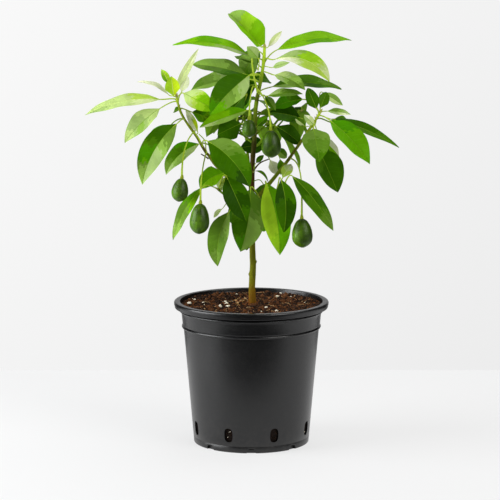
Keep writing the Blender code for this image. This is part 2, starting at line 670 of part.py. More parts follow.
def turned(name, profile, steps, home, look):
    """Turn a profile of (radius, height) points about the upright axis."""
    mesh = bpy.data.meshes.new(name)
    points = [(radius * MM, 0.0, height * MM) for radius, height in profile]
    mesh.from_pydata(points, [(i, i + 1) for i in range(len(points) - 1)], [])
    made = bpy.data.objects.new(name, mesh)
    home.objects.link(made)
    mesh.materials.append(look)
    screw = made.modifiers.new("turn", "SCREW")
    screw.steps = steps
    screw.render_steps = steps
    screw.use_merge_vertices = True
    screw.merge_threshold = 0.00001
    return made


def settle(target):
    """Apply an object's modifiers to its mesh."""
    graph = bpy.context.evaluated_depsgraph_get()
    mesh = bpy.data.meshes.new_from_object(target.evaluated_get(graph))
    old = target.data
    target.modifiers.clear()
    target.data = mesh
    mesh.name = target.name
    bpy.data.meshes.remove(old)


def wall_radius(height):
    """Return the pot body's outer radius at a height below the collar."""
    return BASE_RADIUS + (BODY_TOP_RADIUS - BASE_RADIUS) * height / COLLAR_FOOT


def build_pot(home, cutters):
    """Build the pot's wall with its rolled rim, bead, drain holes and foot notches."""
    inner_foot = wall_radius(FLOOR) - WALL
    rim_low = POT_HEIGHT - RIM_DROP
    profile = [
        (0.0, FLOOR), (inner_foot, FLOOR),
        (BODY_TOP_RADIUS - WALL, COLLAR_FOOT), (COLLAR_RADIUS - WALL + 0.4, rim_low),
        (RIM_INNER_RADIUS - 2.0, POT_HEIGHT - 4.0), (RIM_INNER_RADIUS - 1.1, POT_HEIGHT - 1.2),
        (RIM_INNER_RADIUS + 0.8, POT_HEIGHT),
        (RIM_RADIUS - 3.2, POT_HEIGHT), (RIM_RADIUS - 1.0, POT_HEIGHT - 1.0),
        (RIM_RADIUS, POT_HEIGHT - 3.4), (RIM_RADIUS - 0.2, POT_HEIGHT - 6.0),
        (RIM_RADIUS - 1.8, POT_HEIGHT - 8.2), (RIM_RADIUS - 6.0, POT_HEIGHT - 10.4),
        (COLLAR_RADIUS + 1.4, rim_low), (COLLAR_RADIUS, rim_low - 3.0),
        (COLLAR_RADIUS - 0.9, COLLAR_FOOT + 3.4),
        (COLLAR_RADIUS - 1.0 + BEAD_OUT, COLLAR_FOOT + 1.8),
        (COLLAR_RADIUS - 1.1 + BEAD_OUT, COLLAR_FOOT + 0.2),
        (BODY_TOP_RADIUS, COLLAR_FOOT - 1.4),
        (BASE_RADIUS + 0.4, 2.2), (BASE_RADIUS - 1.4, 0.0), (0.0, 0.0),
    ]
    pot = turned("pot", profile, POT_STEPS, home, material("pot_plastic", (0.022, 0.023, 0.026), 0.42))
    for index in range(HOLE_COUNT):
        bearing = math.radians(360.0 * (index + 0.5) / HOLE_COUNT)
        for kind, width, height, centre in (("hole", HOLE_WIDTH, HOLE_HEIGHT, HOLE_CENTRE),
                                            ("notch", NOTCH_WIDTH, 2.0 * NOTCH_HEIGHT, 0.0)):
            if kind == "hole":
                bpy.ops.mesh.primitive_cylinder_add(vertices=12, radius=0.5 * MM, depth=24.0 * MM)
                cutter = bpy.context.object
                cutter.dimensions = (height * MM, width * MM, 24.0 * MM)
                turn = bearing
            else:
                bpy.ops.mesh.primitive_cylinder_add(vertices=8, radius=0.5 * MM, depth=14.0 * MM)
                cutter = bpy.context.object
                cutter.dimensions = (height * MM, width * MM, 14.0 * MM)
                turn = bearing + math.radians(180.0 / HOLE_COUNT)
            cutter.name = f"{kind}_{index}"
            cutter.rotation_euler = (0.0, math.radians(90.0), turn)
            reach = wall_radius(centre) + (0.0 if kind == "hole" else 3.4)
            cutter.location = (math.cos(turn) * reach * MM, math.sin(turn) * reach * MM, centre * MM)
            for owner in list(cutter.users_collection):
                owner.objects.unlink(cutter)
            cutters.objects.link(cutter)
            cutter.hide_render = True
            cutter.display_type = "WIRE"
    cut = pot.modifiers.new("drain", "BOOLEAN")
    cut.operation = "DIFFERENCE"
    cut.operand_type = "COLLECTION"
    cut.collection = cutters
    cut.solver = "EXACT"
    bpy.context.view_layer.update()
    settle(pot)
    pot.data.shade_smooth()
    pot.data.set_sharp_from_angle(angle=math.radians(28.0))
    for cutter in list(cutters.objects):
        bpy.data.objects.remove(cutter)
    return pot


def build_soil(home):
    """Build the potting mix as a low mound that fills the pot just clear of its wall."""
    foot = wall_radius(FLOOR) - WALL - GAP - 0.2
    top = BODY_TOP_RADIUS - WALL - GAP - 0.1
    edge = COLLAR_RADIUS - WALL - GAP
    profile = [
        (0.0, SOIL_CROWN_HEIGHT), (SOIL_FLAT_RADIUS, SOIL_CROWN_HEIGHT),
        (34.0, SOIL_CROWN_HEIGHT - 1.2), (62.0, SOIL_CROWN_HEIGHT - 2.2),
        (84.0, SOIL_EDGE_HEIGHT + 0.8), (edge - 0.2, SOIL_EDGE_HEIGHT),
        (edge - 0.4, POT_HEIGHT - RIM_DROP), (top, COLLAR_FOOT), (foot, FLOOR + GAP), (0.0, FLOOR + GAP),
    ]
    soil = turned("soil", profile, SOIL_STEPS, home, material("potting_mix", (0.060, 0.035, 0.022), 0.95))
    settle(soil)
    soil.data.shade_smooth()
    soil.data.set_sharp_from_angle(angle=math.radians(40.0))
    return soil


def build_mass(mass, home):
    """Fuse a mass's stem, twigs, leaves and fruit by one union on a collection."""
    look = material(mass.name + "_green", mass.leaf_green, 0.5)
    pieces = collection(mass.name + "_pieces")
    stem = place(mass.name, tube_mesh(mass.name, mass.path, mass.radii, 1, pieces), home, look)
    for index, (path, radii) in enumerate(mass.twigs):
        place(f"{mass.name}_twig_{index}", tube_mesh("twig", path, radii, 1, pieces), pieces)
    for index, leaf in enumerate(mass.leaves):
        place(f"{mass.name}_leaf_{index}", skin_mesh("leaf", leaf.rings()), pieces)
    for index, rings in enumerate(mass.fruits):
        place(f"{mass.name}_fruit_{index}", skin_mesh("fruit", rings), pieces)
    fuse = stem.modifiers.new("fuse", "BOOLEAN")
    fuse.operation = "UNION"
    fuse.operand_type = "COLLECTION"
    fuse.collection = pieces
    fuse.solver = "MANIFOLD"
    bpy.context.view_layer.update()
    settle(stem)
    for piece in list(pieces.objects):
        bpy.data.objects.remove(piece)
    bpy.data.collections.remove(pieces)
    tidy_mesh(stem.data)
    stem.data.materials.clear()
    stem.data.materials.append(look)
    stem.data.shade_smooth()
    stem.data.set_sharp_from_angle(angle=math.radians(40.0))
    return stem


def tidy_mesh(mesh):
    """Drop the loose scraps and sealed hollows that a union left."""
    work = bmesh.new()
    work.from_mesh(mesh)
    shells = []
    seen = set()
    for vert in work.verts:
        if vert in seen:
            continue
        shell = {vert}
        stack = [vert]
        while stack:
            for edge in stack.pop().link_edges:
                for other in edge.verts:
                    if other not in shell:
                        shell.add(other)
                        stack.append(other)
        seen |= shell
        shells.append(shell)
    shells.sort(key=len, reverse=True)
    scraps = [vert for shell in shells[1:] for vert in shell]
    bmesh.ops.delete(work, geom=scraps, context="VERTS")
    bmesh.ops.triangulate(work, faces=work.faces)
    bmesh.ops.recalc_face_normals(work, faces=work.faces)
    work.to_mesh(mesh)
    work.free()


def grow_tree():
    """Lay out the whole plant: limbs, named leaves, fruit, then the seeded rule."""
    tree = Tree()
    for mass_name, rows in LEAVES.items():
        for label, (share, *sizes) in rows.items():
            mass = tree.masses[mass_name]
            tree.add_leaf(mass, label, mass.path, share, sizes)
    for label, (mass_name, share, *sizes) in FRUITS.items():
        tree.add_fruit(tree.masses[mass_name], label, share, sizes)
    for mass_name, *row in RULE:
        tree.grow_rule(tree.masses[mass_name], *row)
    return tree


def main():
    """Build the pot, the potting mix and the tree."""
    for old in list(bpy.data.objects):
        bpy.data.objects.remove(old)
    home = collection("avocado_tree_in_pot")
    cutters = collection("cutters")
    build_pot(home, cutters)
    build_soil(home)
    tree = grow_tree()
    bark = material("bark", (0.16, 0.17, 0.05), 0.75)
    for name, (points, radii) in tree.limbs.items():
        place(name, tube_mesh(name, points, radii, 3 if name == "trunk" else 2, cutters), home, bark.copy())
    for mass in tree.masses.values():
        made = build_mass(mass, home)
        print(f"{mass.name}: {len(mass.leaves)} leaves, {len(made.data.polygons)} triangles")
    bpy.data.collections.remove(cutters)
    print("skipped:", "; ".join(tree.skipped))


main()
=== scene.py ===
"""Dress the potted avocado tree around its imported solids.

The plant is grown again by the source's rule, from the same named sizes, so that each
leaf, twig and fruit lies where its solid does, and is then drawn finely: leaves with a
rib, veins and a curved fold, bark in relief, buds, fruit on thickened stalks, a turned
pot and a loose crumbly potting mix.  Growth is in millimetres and degrees; meshes are
turned into metres where they are made.
"""
from __future__ import annotations

import json
import logging
import math
import random
from dataclasses import dataclass, field, replace
from enum import Enum
from functools import lru_cache
from typing import Callable, Iterable, Optional, Sequence, Union

import bmesh
import bpy
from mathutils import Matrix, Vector, noise
from mathutils.bvhtree import BVHTree

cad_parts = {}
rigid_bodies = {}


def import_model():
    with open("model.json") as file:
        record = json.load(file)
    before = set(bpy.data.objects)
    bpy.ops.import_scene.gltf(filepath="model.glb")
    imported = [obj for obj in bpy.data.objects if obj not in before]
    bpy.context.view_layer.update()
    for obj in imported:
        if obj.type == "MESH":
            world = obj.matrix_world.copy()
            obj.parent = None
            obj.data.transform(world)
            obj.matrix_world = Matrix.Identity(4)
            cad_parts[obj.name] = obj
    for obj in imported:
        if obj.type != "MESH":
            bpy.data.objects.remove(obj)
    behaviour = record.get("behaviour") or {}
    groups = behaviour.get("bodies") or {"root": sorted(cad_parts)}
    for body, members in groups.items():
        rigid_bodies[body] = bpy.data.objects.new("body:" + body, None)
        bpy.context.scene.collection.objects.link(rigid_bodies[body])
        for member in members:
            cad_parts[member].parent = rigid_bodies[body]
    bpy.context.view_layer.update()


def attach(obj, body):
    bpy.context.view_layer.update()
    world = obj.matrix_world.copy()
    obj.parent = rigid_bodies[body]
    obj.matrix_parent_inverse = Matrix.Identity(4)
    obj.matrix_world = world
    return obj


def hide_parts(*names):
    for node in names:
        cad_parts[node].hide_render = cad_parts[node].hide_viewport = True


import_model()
LOG = logging.getLogger("potted_tree")

Colour = tuple[float, float, float]
Ring = list[Vector]
Row = tuple[float, ...]
Face = tuple[int, ...]

MM = 0.001
GAP = 0.3
UP = Vector((0.0, 0.0, 1.0))
RIGHT = Vector((1.0, 0.0, 0.0))
BACK = Vector((0.0, 1.0, 0.0))
FRONT = Vector((0.0, -1.0, 0.0))
GOLDEN_ANGLE = 137.5

# One turn in radians, as near as waves and random headings need it.
PHASES = 6.28

POT_HEIGHT = 203.5
RIM_RADIUS = 110.0
RIM_DROP = 14.0
RIM_INNER_RADIUS = 101.5
COLLAR_RADIUS = 99.4
COLLAR_FOOT = 176.0
BEAD_HEIGHT = 166.5
BEAD_OUT = 1.1
BODY_TOP_RADIUS = 97.2
BASE_RADIUS = 82.0
WALL = 2.4
FLOOR = 3.0
SOIL_EDGE_HEIGHT = 199.2
SOIL_CROWN_HEIGHT = 199.4

TRUNK_FOOT = SOIL_CROWN_HEIGHT + GAP
TRUNK_TOP = 488.0
TRUNK_STEPS = 26
FIRST_STEP = 2.0
TRUNK_LINE = ((0.0, 1.4), (25.0, 0.9), (52.0, 2.3), (84.0, 1.5), (148.0, 0.6),
              (184.0, 1.1), (206.0, 1.9), (234.0, 4.3), (262.0, 5.4), (278.0, 5.9),
              (288.3, 7.4))
TRUNK_FOOT_RADIUS = 5.0
TRUNK_TOP_RADIUS = 2.9
ROOT_FLARE = 1.7
FLARE_HEIGHT = 5.0

# Leaf scars on the trunk: height above its foot, bearing and how far they stand out.
TRUNK_SCARS = ((42.0, 185.0, 1.5), (60.0, -5.0, 1.6), (96.0, 120.0, 0.8), (118.0, 20.0, 0.7),
               (212.0, 200.0, 0.6), (246.0, 10.0, 0.6))

# Collars of a limb: height above its root and swelling.
TRUNK_COLLARS = ((131.0, 0.5), (150.0, 0.8), (156.0, 0.5), (225.0, 0.4))
BOUGH_COLLARS = ((0.0, 0.6), (30.0, 0.3), (54.0, 0.25))

BLADE_OUTLINE = ((0.0, 0.06), (0.16, 0.62), (0.42, 1.0), (0.70, 0.80), (0.90, 0.34))
BLADE_THICKNESS = 1.5
STALK_RADIUS = 0.95
TEST_FATTEN = 0.45
FRUIT_OUTLINE = ((0.02, 0.22), (0.12, 0.46), (0.30, 0.72), (0.52, 0.95), (0.68, 1.0),
                 (0.84, 0.84), (0.95, 0.50), (1.0, 0.16))
EGG_OUTLINE = ((0.0, 0.12), (0.05, 0.38), (0.13, 0.60), (0.30, 0.84), (0.48, 0.97),
               (0.62, 1.0), (0.78, 0.91), (0.90, 0.66), (0.97, 0.36), (1.0, 0.14))
FRUIT_SIDES = 8
FRUIT_STALK_RADIUS = 1.3


def direction(heading: float, near: float) -> Vector:
    """Return the unit vector of a heading in the front plane turned to the front.

    Args:
        heading: Degrees anticlockwise from the right, seen from the front.
        near: Degrees that the direction turns from that plane to the front.

    Returns:
        The unit vector.
    """
    flat = math.cos(math.radians(near))
    return Vector((math.cos(math.radians(heading)) * flat,
                   -math.sin(math.radians(near)),
                   math.sin(math.radians(heading)) * flat))


def polar(bearing: float, rise: float) -> Vector:
    """Return the unit vector of a compass bearing about +Z and a rise above level."""
    flat = math.cos(math.radians(rise))
    return Vector((math.cos(math.radians(bearing)) * flat,
                   math.sin(math.radians(bearing)) * flat,
                   math.sin(math.radians(rise))))


def ramp(table: Sequence[Row], share: float) -> float:
    """Read a table of (share, value) rows by straight lines.

    Args:
        table: The rows, in order.
        share: The place that is read.

    Returns:
        The value there.
    """
    if share <= table[0][0]:
        return table[0][1]
    for (low, first), (high, second) in zip(table, table[1:]):
        if share <= high:
            return first + (second - first) * (share - low) / (high - low)
    return table[-1][1]


def smooth_ramp(table: Sequence[Row], share: float) -> float:
    """Read a table of (share, value) rows by a curve that passes through each row.

    Args:
        table: The rows, in order.
        share: The place that is read.

    Returns:
        The value there.
    """
    rows = [table[0], *table, table[-1]]
    for index in range(1, len(rows) - 2):
        (x1, y1), (x2, y2) = rows[index], rows[index + 1]
        if share <= x2 or index == len(rows) - 3:
            (x0, y0), (x3, y3) = rows[index - 1], rows[index + 2]
            part = min(1.0, max(0.0, (share - x1) / (x2 - x1)))
            first = (y2 - y0) / (x2 - x0) * (x2 - x1)
            last = (y3 - y1) / (x3 - x1) * (x2 - x1)
            return ((2 * part ** 3 - 3 * part ** 2 + 1) * y1 + (part ** 3 - 2 * part ** 2 + part) * first
                    + (3 * part ** 2 - 2 * part ** 3) * y2 + (part ** 3 - part ** 2) * last)
    return table[-1][1]


def limb_path(root: Vector, bearing: float, length: float, rises: Sequence[Row],
              step: float = 9.0) -> Ring:
    """Walk a limb's centre line from its root, its rise following a short table.

    Args:
        root: Where the limb starts.
        bearing: Its compass bearing in degrees.
        length: Its length.
        rises: Rows of (share of the length, degrees above level).
        step: The length of one step.

    Returns:
        The points of the centre line.
    """
    count = max(4, round(length / step))
    points = [root.copy(), root + polar(bearing, rises[0][1]) * FIRST_STEP]
    for index in range(count):
        rise = ramp(rises, (index + 0.5) / count)
        points.append(points[-1] + polar(bearing, rise) * ((length - FIRST_STEP) / count))
    return points


def trunk_path() -> tuple[Ring, list[float]]:
    """Return the trunk's centre line and its radius at each point."""
    height = TRUNK_TOP - TRUNK_FOOT
    count = TRUNK_STEPS
    points = []
    radii = []
    for index in range(count + 1):
        share = index / count
        rise = height * share ** 1.15
        points.append(Vector((ramp(TRUNK_LINE, rise), 0.0, TRUNK_FOOT + rise)))
        taper = TRUNK_FOOT_RADIUS + (TRUNK_TOP_RADIUS - TRUNK_FOOT_RADIUS) * (rise / height) ** 0.8
        radii.append(taper + ROOT_FLARE * math.exp(-rise / FLARE_HEIGHT))
    return points, radii


def along(points: Ring, share: float) -> tuple[Vector, Vector]:
    """Return the point at a share of a path's length, and the path's direction there.

    Args:
        points: The path.
        share: The share of its length.

    Returns:
        The point and the direction.
    """
    lengths = [(b - a).length for a, b in zip(points, points[1:])]
    left = min(max(share, 0.0), 1.0) * sum(lengths)
    for index, length in enumerate(lengths):
        if left <= length or index == len(lengths) - 1:
            way = (points[index + 1] - points[index]).normalized()
            return points[index] + way * min(left, length), way
        left -= length
    return points[-1].copy(), UP.copy()


def carried_frames(points: Ring, side: Vector) -> tuple[Ring, Ring]:
    """Carry a sideways direction back along a path.

    Args:
        points: The path.
        side: The sideways direction at its end.

    Returns:
        The path's direction, and the carried direction, at each point.
    """
    count = len(points)
    ways = []
    for index in range(count):
        ahead = points[min(index + 1, count - 1)] - points[max(index - 1, 0)]
        ways.append(ahead.normalized())
    sides = [side] * count
    carried = side
    for index in range(count - 1, -1, -1):
        if index < count - 1:
            carried = ways[index + 1].rotation_difference(ways[index]) @ carried
        carried = (carried - ways[index] * carried.dot(ways[index])).normalized()
        sides[index] = carried
    return ways, sides


def runs(points: Ring) -> list[float]:
    """Return how far along a path each of its points lies."""
    found = [0.0]
    for low, high in zip(points, points[1:]):
        found.append(found[-1] + (high - low).length)
    return found


def bent(first: Vector, second: Vector, third: Vector, fourth: Vector, count: int) -> Ring:
    """Return points along a smooth curve that four points steer.

    Args:
        first: Where the curve starts.
        second: Where it first heads for.
        third: Where it comes from at its end.
        fourth: Where it ends.
        count: How many steps it has.

    Returns:
        The points.
    """
    points = []
    for index in range(count + 1):
        t = index / count
        points.append(first * (1 - t) ** 3 + second * (3 * t * (1 - t) ** 2)
                      + third * (3 * t * t * (1 - t)) + fourth * t ** 3)
    return points


def rounded_path(points: Ring, step: float) -> Ring:
    """Return a path through the same points, curved between them, with even short steps.

    Args:
        points: The path.
        step: The length of one step, about.

    Returns:
        The finer path.
    """
    full = [points[0] * 2 - points[1], *points, points[-1] * 2 - points[-2]]
    found = []
    for index in range(1, len(full) - 2):
        before, low, high, after = full[index - 1:index + 3]
        count = max(1, round((high - low).length / step))
        for part in range(count):
            t = part / count
            found.append(0.5 * ((2 * low) + (high - before) * t
                                + (2 * before - 5 * low + 4 * high - after) * t * t
                                + (3 * low - before - 3 * high + after) * t ** 3))
    return [*found, points[-1].copy()]


def circle(centre: Vector, side: Vector, other: Vector, radius: float, sides: int) -> Ring:
    """Return points evenly round a centre.

    Args:
        centre: The circle's centre.
        side: The direction of the first point.
        other: The direction a quarter turn on.
        radius: The circle's radius.
        sides: How many points it has.

    Returns:
        The points.
    """
    return [centre + side * (radius * math.cos(2 * math.pi * k / sides))
            + other * (radius * math.sin(2 * math.pi * k / sides)) for k in range(sides)]


def tapered(ends: Row, count: int) -> list[float]:
    """Return the radii of a count of points, running evenly between two end radii."""
    first, last = ends
    return [first + (last - first) * i / (count - 1) for i in range(count)]


def blade_axes(way: Vector) -> tuple[Vector, Vector]:
    """Return the two directions square to a blade's way: to the front, and to the sky."""
    toward = (FRONT - way * FRONT.dot(way)).normalized()
    across = toward.cross(way)
    return toward, -across if way.x < 0.0 else across


@dataclass
class Leaf:
    """One leaf: a stalk from the twig's middle, and a folded, bowed blade.

    Attributes:
        root: Where the stalk leaves the twig.
        way: The twig's direction there.
        stalk: The stalk's length, heading and near.
        blade: The blade's length, heading and near.
        face: How far the upper side turns from the front, in degrees.
        width: The blade's greatest width.
        bow: How far the rib arches to the upper side, as a share of the length.
        sweep: How far the rib bends sideways, as a share of the length.
        fold: How far each half rises from the rib, in degrees.
        label: The leaf's name.
        share: The share of the stem where it grows.
        hands: The shares of the half width on the right hand and on the left hand.
        peak: Moves the widest place to the tip where it is over one.
        blunt: Rounds the outline's ends where it is under one.
    """

    root: Vector
    way: Vector
    stalk: Row
    blade: Row
    face: float
    width: float
    bow: float
    sweep: float = 0.0
    fold: float = 14.0
    label: str = "leaf"
    share: float = 1.0
    hands: Row = (1.0, 1.0)
    peak: float = 1.0
    blunt: float = 1.0

    def __post_init__(self) -> None:
        """Work out the blade's base and directions, and the stalk's line."""
        reach = self.stalk[0]
        self.length = self.blade[0]
        self.heading = direction(self.blade[1], self.blade[2])
        self.base = self.root + direction(self.stalk[1], self.stalk[2]) * reach
        toward, across = blade_axes(self.heading)
        turn = math.radians(self.face)
        self.top = (toward * math.cos(turn) + across * math.sin(turn)).normalized()
        self.side = self.heading.cross(self.top).normalized()
        self.bulge = self.top * (self.bow * self.length) + self.side * (self.sweep * self.length)
        self.steer = (self.root, self.root + self.way * (0.3 * reach),
                      self.base - self.blade_way(0.0) * (0.35 * reach), self.base)
        self.line = bent(*self.steer, 3)

    def blade_point(self, share: float) -> Vector:
        """Return the rib's point at a share of the blade."""
        arch = 4.0 * share * (1.0 - share)
        return self.base + self.heading * (self.length * share) + self.bulge * arch

    def blade_way(self, share: float) -> Vector:
        """Return the rib's direction at a share of the blade."""
        slope = 4.0 * (1.0 - 2.0 * share)
        return (self.heading * self.length + self.bulge * slope).normalized()

    def frame_at(self, share: float) -> tuple[Vector, Vector, Vector]:
        """Return the rib's point, the sideways direction and the upper side at a share."""
        way = self.blade_way(share)
        side = (self.side - way * self.side.dot(way)).normalized()
        return self.blade_point(share), side, side.cross(way)

    def rings(self, fatten: float = 0.0, blade_only: bool = False) -> list[Ring]:
        """Return the four-sided rings of the source's solid leaf, from root to tip.

        Args:
            fatten: How much is added all round.
            blade_only: Whether the stalk is left out.

        Returns:
            The rings.
        """
        found = []
        ways, sides = carried_frames(self.line, self.side)
        for index in range(0 if blade_only else len(self.line) - 1):
            side = sides[index]
            found.append(circle(self.line[index], -side, side.cross(ways[index]), STALK_RADIUS + fatten, 4))
        for share, width in BLADE_OUTLINE:
            centre, side, top = self.frame_at(share)
            half = max(self.width * 0.5 * width, STALK_RADIUS) + fatten
            lift = top * (half * math.tan(math.radians(self.fold)) * min(1.0, 4.0 * share))
            thick = top * (0.5 * BLADE_THICKNESS * (1.0 - 0.35 * share) + fatten)
            found.append([centre - side * half + lift, centre + thick,
                          centre + side * half + lift, centre - thick])
        found.append([self.blade_point(1.0 + 0.5 * fatten / self.length)])
        return found


def loft(rings: list[Ring]) -> tuple[Ring, list[tuple[int, ...]]]:
    """Join rings of equal count, which may end in single points, into a closed skin.

    Args:
        rings: The rings in order.

    Returns:
        The points and the faces.
    """
    points: Ring = []
    faces: list[tuple[int, ...]] = []
    starts = []
    for ring in rings:
        starts.append(len(points))
        points.extend(ring)
    for index in range(len(rings) - 1):
        low, high = starts[index], starts[index + 1]
        count = len(rings[index])
        for corner in range(count):
            after = (corner + 1) % count
            if len(rings[index + 1]) == 1:
                faces.append((low + corner, low + after, high))
            else:
                faces.append((low + corner, low + after, high + after, high + corner))
    faces.append(tuple(starts[0] + corner for corner in reversed(range(len(rings[0])))))
    if len(rings[-1]) > 1:
        faces.append(tuple(starts[-1] + corner for corner in range(len(rings[-1]))))
    return points, faces


@dataclass
class Fruit:
    """One fruit on its drooping stalk."""

    root: Vector
    stalk: Row
    drop: Row
    length: float
    width: float
    lean: float
    label: str = ""

    def path(self, count: int = 7) -> Ring:
        """Return the stalk's centre line, from the twig to the knob."""
        knob = self.knob()
        start = self.root + direction(*self.drop[:2]) * self.drop[2]
        return bent(self.root, start, knob + UP * (0.5 * self.stalk[0]), knob, count)

    def knob(self) -> Vector:
        """Return where the stalk meets the fruit."""
        return self.root + direction(self.stalk[1], self.stalk[2]) * self.stalk[0]

    def rings(self) -> list[Ring]:
        """Return the source's rings of the fruit and its stalk."""
        path = self.path()
        hang = direction(-90.0 + self.lean, 0.0)
        ways, sides = carried_frames(path, RIGHT)
        steps = [(path[i], ways[i], sides[i], FRUIT_STALK_RADIUS * (1.0 + 0.35 * (i > 5)))
                 for i in range(len(path))]
        for share, part in FRUIT_OUTLINE:
            side = (RIGHT - hang * hang.x).normalized()
            steps.append((self.knob() + hang * (self.length * (share + 0.03)), hang, side,
                          0.5 * self.width * part))
        return [circle(centre, side, way.cross(side), radius, FRUIT_SIDES)
                for centre, way, side, radius in steps]


def limb_rings(points: Ring, radii: Sequence[float], sides: int = 6, fatten: float = 0.0) -> list[Ring]:
    """Return round rings about a path, for the test of what touches a limb.

    Args:
        points: The path.
        radii: The radius at each point.
        sides: How many sides a ring has.
        fatten: How much is added all round.

    Returns:
        The rings.
    """
    ways, frames = carried_frames(points, Vector((0.0, 1.0, 0.2)).normalized())
    return [circle(centre, side, way.cross(side), radius / math.cos(math.pi / sides) + fatten, sides)
            for centre, way, side, radius in zip(points, ways, frames, radii)]


def skin_tree(rings: list[Ring]) -> BVHTree:
    """Return a search tree of a lofted skin, for overlap tests."""
    return BVHTree.FromPolygons(*loft(rings))


@dataclass
class Mass:
    """One mass of foliage: a stem, its twigs, and the leaves and fruit on them.

    Attributes:
        name: The mass's name.
        path: The stem's centre line.
        ends: The stem's radius at its root and at its tip.
        room: The two far corners of the box that the mass keeps to.
    """

    name: str
    path: Ring
    ends: Row
    room: tuple[Row, Row]
    leaves: list[Leaf] = field(default_factory=list)
    twigs: list[tuple[Ring, list[float]]] = field(default_factory=list)
    fruits: list[Fruit] = field(default_factory=list)
    blades: list[BVHTree] = field(default_factory=list)

    def __post_init__(self) -> None:
        """Taper the stem, and keep its skin for the tests of what touches it."""
        self.radii = tapered(self.ends, len(self.path))
        self.skins = [skin_tree(limb_rings(self.path, self.radii))]

    def holds(self, rings: list[Ring]) -> bool:
        """Say whether every point of a skin is inside this mass's room."""
        low, high = self.room
        return all(low[axis] <= point[axis] <= high[axis]
                   for ring in rings for point in ring for axis in range(3))


